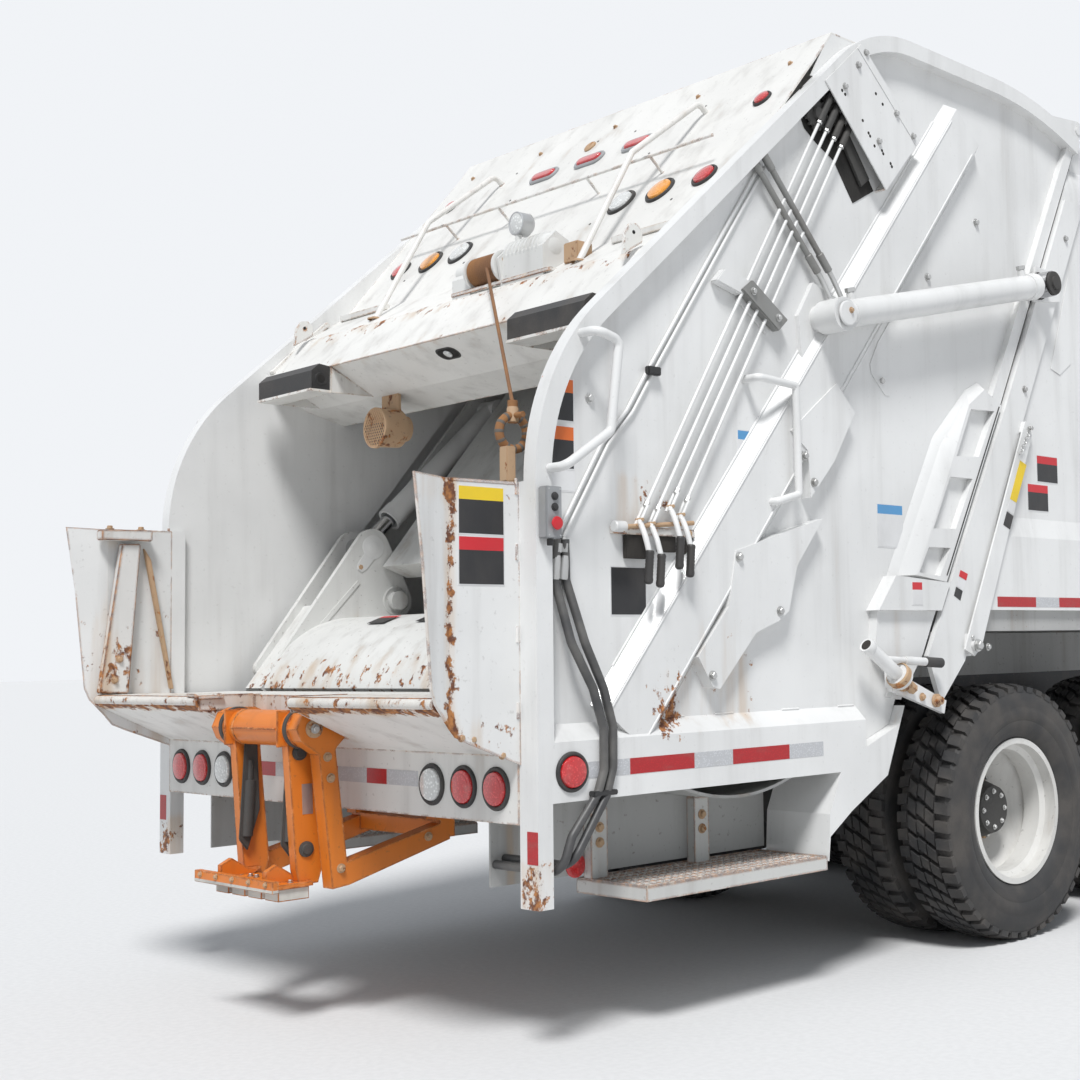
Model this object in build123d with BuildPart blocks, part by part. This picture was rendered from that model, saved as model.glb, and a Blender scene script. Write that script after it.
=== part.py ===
from build123d import *
from math import atan2, cos, degrees, radians, sin, tan
import os

os.makedirs("parts", exist_ok=True)

# Frame: +Y forward, +X to the truck's right side, +Z up, ground at Z = 0.
# A station is a distance forward of the rear lamp panel, in millimetres.

# Overall
front_s = 9270.0            # front face of the bumper
guard_flare = 16.0          # degrees the guards' rear strips turn outward
guard_fold_s = -251.0       # where the guards fold
guard_strip = 150.0         # width of the flared strip
running_gap = 0.3           # seat between separate pieces
skin = 6.0                  # sheet thickness of the tailgate and body

# Tailgate side walls
half_width = 1217.0         # outer face of the tailgate's rims
skin_inset = 52.0           # outer face of the side skin, inside the rims' outer face
wall_x = half_width - skin_inset
post_s = 5.0
post_depth = 55.0
post_width = 89.0
post_bottom = 454.0
rim_width = 62.0
slope_corner = (post_s, 2087.0)
slope_radius = 798.0
roof_corner = (1652.0, 3624.0)
roof_radius = 635.0
drop_corner = (2777.0, 3624.0)
drop_radius = 1900.0
roof_end = (3131.0, 3498.0)
joint_mid = (2467.0, 2214.0)
joint_low = (1891.0, 1175.0)
fender_tip = (1757.0, 1012.0)
beam_bottom = 765.0
beam_top = 947.0
beam_end = 1520.0
beam_chamfer = skin_inset
channel_start = (355.0, 969.0)
channel_end = (2275.0, 3364.0)
channel_foot = 270.0
channel_face = 190.0
channel_height = 45.0
channel_wall = 8.0
joint_inset = 22.0          # body side and joint flange, inside the rims' outer face
flange_x = half_width - joint_inset

# Packer: pivot of the sweep blade, hopper floor and carriage
blade_pivot = (910.0, 1460.0)
floor_radius = 740.0
floor_plate = 10.0
floor_rear = -60.0          # degrees from straight down, minus is rearward
floor_front = 46.0
floor_ramp = (1780.0, 1300.0)
floor_end = (1975.0, 1342.0)
blade_reach = 712.0
blade_rest = -59.7
lever_pin = (800.0, 1690.0)
lever_space = 125.0         # between the inner faces of the two lever plates
lever_clear = 85.0          # outer lever plate's inner face to the side skin's outer face
lever_x = (wall_x - lever_clear - lever_space, wall_x - lever_clear)
lever_plate = 25.0
sweep_base = (1496.0, 2360.0)
sweep_tube = 50.0
sweep_rod = 30.0

sweep_pin = 25.0
pivot_shaft = 40.0

# Rear sill, guards and beam over the hopper
sill_top = 1090.0
sill_lip = -300.0
sill_half = half_width - post_width - running_gap
lamp_panel_low = 702.0
lamp_panel_high = 908.0
notch_half = 310.0
notch_s = -75.0
beam_lip = (420.0, 2392.0)
beam_fold = (620.0, 2285.0)
beam_inner = (800.0, 2240.0)
ledge_rear = (570.0, 2575.0)
board_low = (800.0, 2720.0)
board_high = (1420.0, 3480.0)
roof_drop = 64.0            # tailgate's roof panel below the top of its rims
roof_panel_z = roof_corner[1] - roof_drop
skirt_inset = 317.0         # support plates under the trough, inside the rims
skirt_x = half_width - skirt_inset
skirt_low = 490.0
step_s = (430.0, 1290.0)
step_top = 470.0
step_thick = 45.0
step_inner = skirt_x - 30
lifter_pivot = (-190.0, 985.0)
lifter_tube = 60.0
lifter_stub = 19.5

# Tailgate hinge and lift cylinders
tail_hinge = (3150.0, 3560.0)
lift_out = 51.0             # axis of the lift cylinders, outside the rims
lift_x = half_width + lift_out
lift_tail = (1340.0, 2425.0)
lift_head = (2729.0, 2762.0)
lift_tube = 52.0
lift_rod = 28.0
lift_eye = 62.0
lift_pin = 30.0
lift_boss = 50.0
lift_eye_half = 52.0
rod_eye_half = 38.0
lift_dead = 60.0            # barrel end to the rod's eye centre, closed
hinge_ear = 42.0
hinge_pin = 20.0

# Load body
body_half = half_width - joint_inset
body_floor_z = 1356.0
body_roof_z = 3490.0
body_front_s = 7080.0
joint_gap = 12.0            # tailgate to body, along the truck
roof_corner_r = 260.0

# Chassis and wheels
rail_x = 430.0
rail_height = 270.0
rail_top = 1070.0
rail_web = 9.0
rail_flange = 85.0
rail_rear_s = 1800.0
rear_axle_s = (2499.0, 3819.0)
front_axle_s = 7750.0
tyre_radius = 525.0
tyre_width = 280.0
rim_radius = 286.0
rim_flange = 298.5
rim_width_mm = 210.0
dual_x = (1099.0, 765.0)    # centre planes of the outer and inner tyres
front_wheel_x = 1035.0
kingpin_x = 880.0
spindle_end = 1010.0        # rear spindles, from the middle
disc_x = 930.0

# Cab
cab_half = 1190.0
cab_rear_s = 7430.0
cab_front_s = 9180.0
cab_roof_z = 2850.0
cab_wall = 50.0
arch_radius = 650.0
door_s = (8440.0, 9050.0)
door_z = (640.0, 2560.0)
door_window_s = (8520.0, 8980.0)
door_window_z = (1480.0, 2470.0)
quarter_s = (7700.0, 8330.0)
quarter_z = (1620.0, 2470.0)
tunnel_half = 600.0
tow_eye = 20.0
spindle = 45.0
kingpin = 22.0
hub_x = 1085.0

rear_reach = -guard_fold_s + guard_strip * cos(radians(guard_flare))
tail_y = -(front_s - rear_reach) / 2


def side(x):
    """Upright plane at x: local x forward from the tail, local y up, normal to the right."""
    return Plane(origin=(x, tail_y, 0), x_dir=(0, 1, 0), z_dir=(1, 0, 0))


def cross(s):
    """Upright plane across the truck at a station: local x right, local y up, normal rearward."""
    return Plane(origin=(0, tail_y + s, 0), x_dir=(1, 0, 0), z_dir=(0, -1, 0))


def level(z):
    """Flat plane at a height: local x right, local y forward from the tail, normal up."""
    return Plane(origin=(0, tail_y, z), x_dir=(1, 0, 0), z_dir=(0, 0, 1))


def point(x, s, z):
    """Place in the truck's frame from x, station and height."""
    return Vector(x, tail_y + s, z)


def block(x, s, z, mode=Mode.ADD):
    """Box between two values of x, of station and of height."""
    with Locations(point((x[0] + x[1]) / 2, (s[0] + s[1]) / 2, (z[0] + z[1]) / 2)):
        Box(x[1] - x[0], s[1] - s[0], z[1] - z[0], mode=mode)


def plate(plane, points, thickness, mode=Mode.ADD):
    """Straight-edged outline on a plane, extruded along the plane's normal."""
    with BuildSketch(plane) as outline:
        with BuildLine():
            Polyline(*points, close=True)
        make_face()
    extrude(outline.sketch, amount=thickness, mode=mode)


def bar(start, end, radius, mode=Mode.ADD):
    """Round bar between two places."""
    run = end - start
    with BuildSketch(Plane(origin=start, z_dir=run)) as end_face:
        Circle(radius)
    extrude(end_face.sketch, amount=run.length, mode=mode)


def across(s, z, x, radius, mode=Mode.ADD):
    """Round bar that lies across the truck, between two values of x."""
    bar(point(x[0], s, z), point(x[1], s, z), radius, mode)


def swing(pivot, radius, angle):
    """Station and height at an angle about a pivot: 0 is straight down, plus is forward."""
    turn = radians(angle)
    return pivot[0] + radius * sin(turn), pivot[1] - radius * cos(turn)


def write(piece, name):
    """Label a finished piece and write it."""
    piece.part.label = name
    export_step(piece.part, f"parts/{name}.step")


# Tailgate side walls: skin, bent rim, post, lower box beam, packer channel, lift pivots
rim_points = [(post_s, beam_bottom), slope_corner, roof_corner, drop_corner, roof_end]
rim_radii = [slope_radius, roof_radius, drop_radius]
channel_run = Vector(channel_end[0] - channel_start[0], channel_end[1] - channel_start[1])
channel_turn = degrees(atan2(channel_run.Y, channel_run.X))


def channel_plane(x):
    """Plane beside the packer channel: local x along the channel from its foot, normal right."""
    base = side(x)
    along = Vector(0, cos(radians(channel_turn)), sin(radians(channel_turn)))
    return Plane(origin=base.from_local_coords(channel_start), x_dir=along, z_dir=(1, 0, 0))


with BuildPart() as tailgate_sides:
    with BuildSketch(side(wall_x - skin)):
        with BuildLine():
            top = FilletPolyline(*rim_points, radius=rim_radii)
            Polyline(top @ 1, joint_mid, joint_low, fender_tip, (1715, 920), (1390, 800),
                     (1360, beam_bottom), top @ 0)
        make_face()
    extrude(amount=skin)
    with BuildSketch(side(wall_x)) as rim:
        with BuildLine():
            outer = FilletPolyline(*rim_points, radius=rim_radii)
            inner_points = [(post_s + rim_width, beam_bottom),
                            (slope_corner[0] + rim_width, slope_corner[1] - 0.42 * rim_width),
                            (roof_corner[0] + 0.4 * rim_width, roof_corner[1] - rim_width),
                            (drop_corner[0] - 0.17 * rim_width, drop_corner[1] - rim_width),
                            (roof_end[0] - 0.34 * rim_width, roof_end[1] - rim_width)]
            inner = FilletPolyline(*inner_points, radius=[slope_radius - rim_width,
                                                          roof_radius - rim_width,
                                                          drop_radius - rim_width])
            Line(outer @ 0, inner @ 0)
            Line(outer @ 1, inner @ 1)
        make_face()
    extrude(amount=half_width - wall_x)
    block((half_width - post_width, half_width), (post_s, post_s + post_depth),
          (post_bottom, slope_corner[1] - slope_radius * tan(radians(23.5))))
    with BuildSketch(cross(beam_end)):
        with BuildLine():
            Polyline((wall_x - skin, beam_bottom), (half_width, beam_bottom), (half_width, beam_top),
                     (wall_x, beam_top + beam_chamfer), (wall_x - skin, beam_top + beam_chamfer),
                     close=True)
        make_face()
    extrude(amount=beam_end - post_s - post_depth)
    with BuildSketch(side(wall_x - skin)):
        with BuildLine():
            Polyline(joint_mid, joint_low, fender_tip, (fender_tip[0] - 60, fender_tip[1] + 10),
                     (joint_low[0] - 62, joint_low[1] + 20), (joint_mid[0] - 68, joint_mid[1] + 10),
                     (roof_end[0] - 68, roof_end[1] - 20), roof_end, close=True)
        make_face()
    extrude(amount=flange_x - wall_x + skin)
    with BuildSketch(Plane(origin=channel_plane(0).from_local_coords((0, 0, 0)),
                           x_dir=(1, 0, 0), z_dir=channel_plane(0).x_dir)) as profile:
        with BuildLine():
            Polyline((wall_x - skin, -channel_foot / 2), (wall_x, -channel_foot / 2),
                     (wall_x + channel_height, -channel_face / 2),
                     (wall_x + channel_height, channel_face / 2), (wall_x, channel_foot / 2),
                     (wall_x - skin, channel_foot / 2), close=True)
        make_face()
    extrude(amount=channel_run.length)
    plate(side(wall_x), [(1317, 2560), (1232, 2425), (1250, 2230), (1290, 2190), (1400, 2240),
                         (1450, 2380), (1430, 2520)], 20)
    across(*lift_tail, (wall_x, lift_x - lift_eye_half - 1), lift_boss)
    across(*lift_tail, (wall_x, lift_x + lift_eye_half + 8), lift_pin)
    # Raised column along the joint, with three pockets, and its foot
    with BuildSketch(side(wall_x - 1)) as low_face:
        with BuildLine():
            Polyline((1719, 1484), (2032, 2049), (2267, 2269), (2349, 2307), (2458, 2216), (2046, 1462),
                     close=True)
        make_face()
    with BuildSketch(side(half_width - 4)) as high_face:
        with BuildLine():
            Polyline((1846, 1490), (2105, 1965), (2225, 2195), (2335, 2268), (2452, 2214), (2042, 1466),
                     close=True)
        make_face()
    loft([low_face.sketch, high_face.sketch], ruled=True)
    for pocket in ([(2237, 2178), (2400, 2184), (2283, 1984), (2130, 1976)],
                   [(2084, 1890), (2236, 1890), (2112, 1680), (1965, 1676)],
                   [(1932, 1602), (2072, 1602), (2000, 1488), (1868, 1500)]):
        plate(side(half_width - 34), pocket, 60, mode=Mode.SUBTRACT)
    plate(side(wall_x), [(1705, 1484), (2046, 1466), (1985, 1352), (1598, 1352)], half_width + 12 - wall_x)
    plate(side(wall_x - 1), [(1620, 1360), (1975, 1350), (joint_low[0] - 4, joint_low[1] + 8),
                             (1770, 1040), (1600, 1200)], 40)
    # Cover plates over the packer channel
    plate(side(wall_x), [(858, 1552), (1058, 1611), (1308, 1683), (1164, 1508), (1118, 1348),
                         (1065, 1313), (949, 1272), (771, 1085), (738, 1093), (672, 1194), (820, 1361)],
          channel_height + 6)
    plate(side(wall_x), [(1147, 1991), (1235, 1926), (1246, 1756), (1380, 1900), (1500, 2090),
                         (1400, 2190)], channel_height + 6)
    # The channel is open inside along all its run, under its covers too
    with BuildSketch(Plane(origin=channel_plane(0).from_local_coords((channel_wall, 0, 0)),
                           x_dir=(1, 0, 0), z_dir=channel_plane(0).x_dir)) as hollow:
        with BuildLine():
            Polyline((wall_x - 2 * skin, -channel_face / 2 + channel_wall),
                     (wall_x + channel_height - channel_wall, -channel_face / 2 + channel_wall),
                     (wall_x + channel_height - channel_wall, channel_face / 2 - channel_wall),
                     (wall_x - 2 * skin, channel_face / 2 - channel_wall), close=True)
        make_face()
    extrude(amount=channel_run.length - 2 * channel_wall, mode=Mode.SUBTRACT)
    # Ears that reach forward over the body roof to the tailgate's hinge
    with BuildSketch(side(wall_x)):
        with Locations(tail_hinge):
            Circle(hinge_ear)
        with BuildLine():
            Polyline((tail_hinge[0], tail_hinge[1] + hinge_ear), (2900, 3576), (2900, 3520),
                     (3100, 3500), (tail_hinge[0], tail_hinge[1] - hinge_ear), close=True)
        make_face()
        with Locations(tail_hinge):
            Circle(hinge_pin + 0.5, mode=Mode.SUBTRACT)
    extrude(amount=30)
    # Sloping mudguard corners ahead of the steps
    plate(side(step_inner + 34), [(1300, 455), (1310, 620), (1390, 799), (1715, 919), (1750, 990),
                                  (1640, 735), (1430, 620), (1310, 540)], half_width - step_inner - 34)
    mirror(about=Plane.YZ)
write(tailgate_sides, "tailgate_sides")

# Hopper floor: one bent plate, round about the blade's pivot, then up to the body floor
with BuildPart() as hopper_floor:
    with BuildSketch(side(-wall_x + skin)):
        with BuildLine():
            under = floor_radius + floor_plate
            ThreePointArc(swing(blade_pivot, floor_radius, floor_rear),
                          swing(blade_pivot, floor_radius, 0),
                          swing(blade_pivot, floor_radius, floor_front))
            Polyline(swing(blade_pivot, floor_radius, floor_front), floor_ramp, floor_end,
                     (floor_end[0], floor_end[1] - floor_plate),
                     (floor_ramp[0] + 4, floor_ramp[1] - floor_plate),
                     swing(blade_pivot, under, floor_front))
            ThreePointArc(swing(blade_pivot, under, floor_front), swing(blade_pivot, under, 0),
                          swing(blade_pivot, under, floor_rear))
            Line(swing(blade_pivot, under, floor_rear), swing(blade_pivot, floor_radius, floor_rear))
        make_face()
    extrude(amount=2 * (wall_x - skin))
    # Support plates under the trough, which carry the steps
    for x in (-skirt_x - 4, skirt_x - 4):
        plate(side(x), [(60, skirt_low), (1290, skirt_low), (1290, 760), (1440, 920), (1300, 1000),
                        (300, 1000), (300, 900), (60, 900)], 8)
    with Locations(point(0, *blade_pivot)):
        Cylinder(floor_radius, 2200, rotation=(0, 90, 0), mode=Mode.SUBTRACT)
write(hopper_floor, "hopper_floor")

# Rear sill: shelf with a notched lip, its sloping underside, and the lamp panel
with BuildPart() as tail_sill:
    plate(side(-sill_half), [(270, sill_top), (sill_lip + 20, sill_top), (sill_lip, sill_top - 18),
                             (sill_lip + 6, sill_top - 34), (0, lamp_panel_high), (0, lamp_panel_low),
                             (50, lamp_panel_low), (50, lamp_panel_low + 8), (8, lamp_panel_low + 8),
                             (8, lamp_panel_high - 8), (420, lamp_panel_high - 8)], 2 * sill_half)
    block((-notch_half, notch_half), (sill_lip - 10, notch_s), (sill_top - 200, sill_top + 10),
          mode=Mode.SUBTRACT)
    with Locations(point(0, *blade_pivot)):
        Cylinder(floor_radius + floor_plate, 3000, rotation=(0, 90, 0), mode=Mode.SUBTRACT)
    for x in (-skirt_x, skirt_x):
        block((x - 5, x + 5), (59, 500), (400, lamp_panel_high + 100), mode=Mode.SUBTRACT)
write(tail_sill, "tail_sill")

# Guards: flat plates behind the posts, with a rear strip turned outward
with BuildPart() as hopper_guards:
    guard_x = half_width - post_width
    plate(side(guard_x), [(post_s, 882), (-176, 953), (-228, 976), (guard_fold_s, 1004),
                          (guard_fold_s, 1735), (post_s, 1737)], 8)
    turn = radians(guard_flare)
    flare = Plane(origin=point(guard_x, guard_fold_s, 0), x_dir=(sin(turn), -cos(turn), 0),
                  z_dir=(-cos(turn), -sin(turn), 0))
    plate(flare, [(0, 1004), (62, 1075), (80, 1119), (115, 1491), (guard_strip, 1742), (0, 1735)], -8)
    mirror(about=Plane.YZ)
write(hopper_guards, "hopper_guards")

# Upper tail: ledge, sloping lamp board and roof of the tailgate, one bent sheet, and its beam
board_run = Vector(board_high[0] - board_low[0], board_high[1] - board_low[1])
board_turn = atan2(board_run.Y, board_run.X)
board_normal = Vector(0, -sin(board_turn), cos(board_turn))
ledge_rise = (board_low[1] - ledge_rear[1]) / (board_low[0] - ledge_rear[0])
stop_clear = 109.0          # stops to the side skin's outer face
stop_x = (640.0, wall_x - stop_clear)


def ledge_z(s):
    """Height of the ledge's upper face at a station."""
    return ledge_rear[1] + (s - ledge_rear[0]) * ledge_rise


def pipe(route, radius, bend):
    """Round pipe along straight runs with rounded bends."""
    with BuildLine() as path:
        FilletPolyline(*route, radius=bend)
    with BuildSketch(Plane(origin=path.line @ 0, z_dir=path.line % 0)) as end_face:
        Circle(radius)
    sweep(end_face.sketch, path=path.line)


with BuildPart() as tail_hood:
    plate(side(-wall_x + skin), [ledge_rear, board_low, board_high, (1480, roof_panel_z),
                                 (2500, roof_panel_z), (3090, 3465), (3088, 3458),
                                 (2499, roof_panel_z - skin), (1484, roof_panel_z - skin),
                                 (board_high[0] + 5, board_high[1] - 4),
                                 (board_low[0] + 5, board_low[1] - 5),
                                 (ledge_rear[0], ledge_rear[1] - skin)], 2 * (wall_x - skin))
    plate(side(-wall_x + skin), [beam_lip, ledge_rear, board_low, (800, 2690), (660, 2590), (640, 2430),
                                 (beam_inner[0], beam_inner[1] + 12), beam_inner, beam_fold],
          2 * (wall_x - skin))
    # Shelves and gussets under the two stops
    for way in (-1, 1):
        low = stop_x[0] if way > 0 else -stop_x[1]
        plate(side(low), [(332, 2284), (332, 2294), (430, 2294), (430, 2284)], stop_x[1] - stop_x[0])
        for x in (stop_x[0] - 8, stop_x[1] - 8):
            low = x if way > 0 else -x - 8
            plate(side(low), [(beam_lip[0] + 2, beam_lip[1] - 4), (420, 2284), (440, 2284),
                              (beam_fold[0], beam_fold[1] + 2)], 8)
    # Guard rods that stand off the board, and the thin rod behind them
    rod_feet = point(0, 1255, 3355) - board_normal * 52
    for way in (-1, 1):
        x = Vector(way * 660, 0, 0)
        pipe([point(0, 640, ledge_z(640) - 4) + x, point(0, 903, 3078) + x, point(0, 1255, 3355) + x,
              rod_feet + x], 12, 36)
        for x in (287, 660):
            hook = point(way * x, 993, 3084)
            bar(hook, hook - board_normal * 83, 6)
    across(993, 3084, (-wall_x + 165, wall_x - 165), 6)
write(tail_hood, "tail_hood")

with BuildPart() as rubber_stops:
    for way in (-1, 1):
        low = stop_x[0] if way > 0 else -stop_x[1]
        plate(side(low), [(338, 2294.3), (338, 2366), (372, 2397), (419, 2391), (419, 2294.3)],
              stop_x[1] - stop_x[0])
write(rubber_stops, "rubber_stops")

# Work light under the beam's fold
with BuildPart() as work_light:
    fold_slope = (beam_inner[1] - beam_fold[1]) / (beam_inner[0] - beam_fold[0])
    plate(side(-590), [(628, beam_fold[1] + 8 * fold_slope - running_gap),
                       (640, beam_fold[1] + 20 * fold_slope - running_gap), (640, 2160), (628, 2160)], 120)
    bar(point(-510, 545, 2138), point(-510, 650, 2144), 78)
    bar(point(-510, 650, 2144), point(-510, 690, 2146), 52)
write(work_light, "work_light")

with BuildPart() as side_steps:
    block((step_inner, half_width), step_s, (step_top - step_thick, step_top))
    for s in (373, 840):
        block((skirt_x + 4, skirt_x + 44), (s + 60, s + 130), (step_top, 700))
    mirror(about=Plane.YZ)
write(side_steps, "side_steps")

# Rear lamps: round on the panel, round and long ones on the board, side markers
panel_lamps = (107.7, 275.7, 447.7)    # centres, from the ends of the lamp panel
board = Plane(origin=point(0, *board_low), x_dir=(1, 0, 0), z_dir=board_normal)
with BuildPart() as tail_lamps:
    for x in [sill_half - inset for inset in panel_lamps]:
        for way in (-1, 1):
            with Locations(Plane(origin=point(way * x, 0, 806), z_dir=(0, -1, 0))):
                Cylinder(67.5, 10, align=(Align.CENTER, Align.CENTER, Align.MIN))
                Cylinder(50, 22, align=(Align.CENTER, Align.CENTER, Align.MIN))
    for x in (-740, -521, 521, 740):
        with Locations(board * Location((x, 269, 0))):
            Cylinder(67.5, 10, align=(Align.CENTER, Align.CENTER, Align.MIN))
            Cylinder(50, 22, align=(Align.CENTER, Align.CENTER, Align.MIN))
    for x in (-303, 0, 303):
        with BuildSketch(board * Location((x, 716, 0))):
            SlotOverall(180, 80)
        extrude(amount=18)
    for way in (-1, 1):
        with Locations(Plane(origin=point(way * half_width, 133, 855), z_dir=(way, 0, 0))):
            Cylinder(62, 8, align=(Align.CENTER, Align.CENTER, Align.MIN))
            Cylinder(40, 16, align=(Align.CENTER, Align.CENTER, Align.MIN))
write(tail_lamps, "tail_lamps")

# Packer carriage: main panel and two side frames, carried by shoes in the side channels
pivot_local = channel_plane(0).to_local_coords(point(0, *blade_pivot))
shoe_half = channel_face / 2 - channel_wall - running_gap
cheek_x = (lever_x[1] + lever_plate + 5, lever_x[1] + lever_plate + 27)
panel_half = lever_x[0] - lever_plate - 10
with BuildPart() as packer_carriage:
    plate(channel_plane(-panel_half), [(pivot_local.X + 110, -105), (pivot_local.X + 70, 20),
                                       (pivot_local.X + 1300, 20), (pivot_local.X + 1300, -105)],
          2 * panel_half)
    for way in (-1, 1):
        low = cheek_x[0] if way > 0 else -cheek_x[1]
        plate(channel_plane(low), [(pivot_local.X - 230, -70), (pivot_local.X - 230, 60),
                                   (pivot_local.X + 1300, 60), (pivot_local.X + 1300, -105),
                                   (pivot_local.X + 120, -105), (pivot_local.X + 60, -190),
                                   (pivot_local.X - 60, -190)], cheek_x[1] - cheek_x[0])
        for along in (pivot_local.X - 150, pivot_local.X + 1200):
            with Locations(channel_plane(way * (cheek_x[1] + 28)) * Location((along, 0, 0))):
                Box(140, 2 * shoe_half, 56)
        inner, outer = way * (panel_half - 1), way * (cheek_x[0] + 1)
        across(*sweep_base, (min(inner, outer), max(inner, outer)), sweep_pin)
        across(*blade_pivot, (min(way * (lever_x[0] - 60), outer), max(way * (lever_x[0] - 60), outer)),
               pivot_shaft)
    plate(channel_plane(-cheek_x[1]), [(pivot_local.X + 1200, -105), (pivot_local.X + 1200, 20),
                                       (pivot_local.X + 1300, 20), (pivot_local.X + 1300, -105)],
          2 * cheek_x[1])
write(packer_carriage, "packer_carriage")

# Sweep blade: curved shell between the inner lever plates, four lever plates, thin end fields
tip = swing(blade_pivot, blade_reach, blade_rest)
shell_half = lever_x[0] - lever_plate
with BuildPart() as sweep_blade:
    with BuildSketch(side(-shell_half)):
        with BuildLine():
            ThreePointArc(tip, (455, 1310), (690, 1386))
            Polyline((690, 1386), (920, 1386), (955, 1345))
            ThreePointArc((955, 1345), (640, 1190), (tip[0] + 22, tip[1] - 22))
            Line((tip[0] + 22, tip[1] - 22), tip)
        make_face()
    extrude(amount=2 * shell_half)
    for way in (-1, 1):
        for near in (lever_x[0] - lever_plate, lever_x[1]):
            low = near if way > 0 else -near - lever_plate
            with BuildSketch(side(low)):
                for place, radius in ((lever_pin, 78), (blade_pivot, 80), ((380, 1180), 40)):
                    with Locations(place):
                        Circle(radius)
                make_hull()
                with Locations(blade_pivot):
                    Circle(pivot_shaft + 0.5, mode=Mode.SUBTRACT)
            extrude(amount=lever_plate)
        low = lever_x[0] if way > 0 else -lever_x[1]
        plate(side(low), [tip, (560, 1440), (600, 1425), (tip[0] + 22, tip[1] - 22)],
              lever_x[1] - lever_x[0])
write(sweep_blade, "sweep_blade")

# Sweep cylinders: barrels pinned to the carriage, rods with open eyes at the lever pins
sweep_run = Vector(lever_pin[0] - sweep_base[0], lever_pin[1] - sweep_base[1])
sweep_turn = degrees(atan2(sweep_run.Y, sweep_run.X))
lever_mid = (lever_x[0] + lever_x[1]) / 2
sweep_eye_half = (lever_x[1] - lever_x[0]) / 2 - 5


def ram_plane(start, turn, x):
    """Upright plane at x with local x along a cylinder from its pinned end."""
    return Plane(origin=point(x, *start), x_dir=(0, cos(radians(turn)), sin(radians(turn))),
                 z_dir=(1, 0, 0))


def ram_barrel(start, turn, x, tube, length, eye, pin, eye_half):
    """Cylinder barrel: cross eye at its pinned end, tube with a bored inside and gland ring."""
    base = ram_plane(start, turn, x)
    along = base.x_dir
    bar(base.origin + along * eye * 0.5, base.origin + along * length, tube)
    bar(base.origin + along * (length - 60), base.origin + along * length, tube + 4)
    bar(base.origin + along * (eye + 20), base.origin + along * (length + 1), tube - 7,
        mode=Mode.SUBTRACT)
    half = Vector(eye_half, 0, 0)
    bar(base.origin - half, base.origin + half, eye)
    bar(base.origin - half * 1.1, base.origin + half * 1.1, pin + 0.5, mode=Mode.SUBTRACT)


def ram_rod(start, turn, x, rod, tube, piston_at, eye_at, eye, pin, eye_half):
    """Cylinder rod: piston in the barrel, rod, and a bored cross eye at its free end."""
    base = ram_plane(start, turn, x)
    along = base.x_dir
    bar(base.origin + along * piston_at, base.origin + along * eye_at, rod)
    bar(base.origin + along * piston_at, base.origin + along * (piston_at + 60), tube - 7.5)
    centre = base.origin + along * eye_at
    half = Vector(eye_half, 0, 0)
    bar(centre - half, centre + half, eye)
    bar(centre - half * 1.1, centre + half * 1.1, pin, mode=Mode.SUBTRACT)


with BuildPart() as sweep_barrels:
    ram_barrel(sweep_base, sweep_turn, lever_mid, sweep_tube, 780, 48, sweep_pin, sweep_eye_half)
    mirror(about=Plane.YZ)
write(sweep_barrels, "sweep_barrels")

with BuildPart() as sweep_rods:
    ram_rod(sweep_base, sweep_turn, lever_mid, sweep_rod, sweep_tube, 170, sweep_run.length, 45, 24,
            sweep_eye_half)
    mirror(about=Plane.YZ)
write(sweep_rods, "sweep_rods")

# Tailgate lift cylinders: barrels pinned to the tailgate, rods with open eyes at the body
lift_run = Vector(lift_head[0] - lift_tail[0], lift_head[1] - lift_tail[1])
lift_turn = degrees(atan2(lift_run.Y, lift_run.X))
with BuildPart() as lift_barrels:
    ram_barrel(lift_tail, lift_turn, lift_x, lift_tube, lift_run.length - lift_dead - 30, lift_eye,
               lift_pin, lift_eye_half)
    mirror(about=Plane.YZ)
write(lift_barrels, "lift_barrels")

with BuildPart() as lift_rods:
    ram_rod(lift_tail, lift_turn, lift_x, lift_rod, lift_tube, 110, lift_run.length, 55, lift_pin,
            rod_eye_half)
    mirror(about=Plane.YZ)
write(lift_rods, "lift_rods")

# Operator's side: valve box, linkage rods, levers, pipes, button box and grab rails
lever_rods = 4
with BuildPart() as control_gear:
    plate(side(half_width + running_gap), [(1368, 3326), (1582, 3525), (1930, 3225), (1712, 2978)], 6)
    plate(side(wall_x + running_gap), [(1716, 2981), (1930, 3225), (1923, 3231), (1709, 2987)],
          half_width - wall_x)
    plate(side(wall_x + running_gap), [(790, 2500), (850, 2560), (1110, 2385), (1065, 2320)], 22)
    block((wall_x + running_gap, wall_x + 24), (380, 676), (1588, 1632))
    for index in range(lever_rods):
        s = 440 + 50 * index
        across(s, 1612, (wall_x + running_gap, wall_x + 34), 8)
        bar(point(wall_x + 30, s, 1612), point(wall_x + 30, 1385 + 40 * index, 3215 - 22 * index), 6)
        bar(point(wall_x + 30, s, 1610), point(wall_x + 66, s - 20, 1500), 7)
        bar(point(wall_x + 66, s - 20, 1500), point(wall_x + 88, s - 32, 1400), 13)
write(control_gear, "control_gear")

with BuildPart() as button_box:
    block((half_width + running_gap, half_width + 45), (12, 70), (1560, 1720))
    across(41, 1612, (half_width + 45, half_width + 62), 16)
write(button_box, "button_box")


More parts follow.
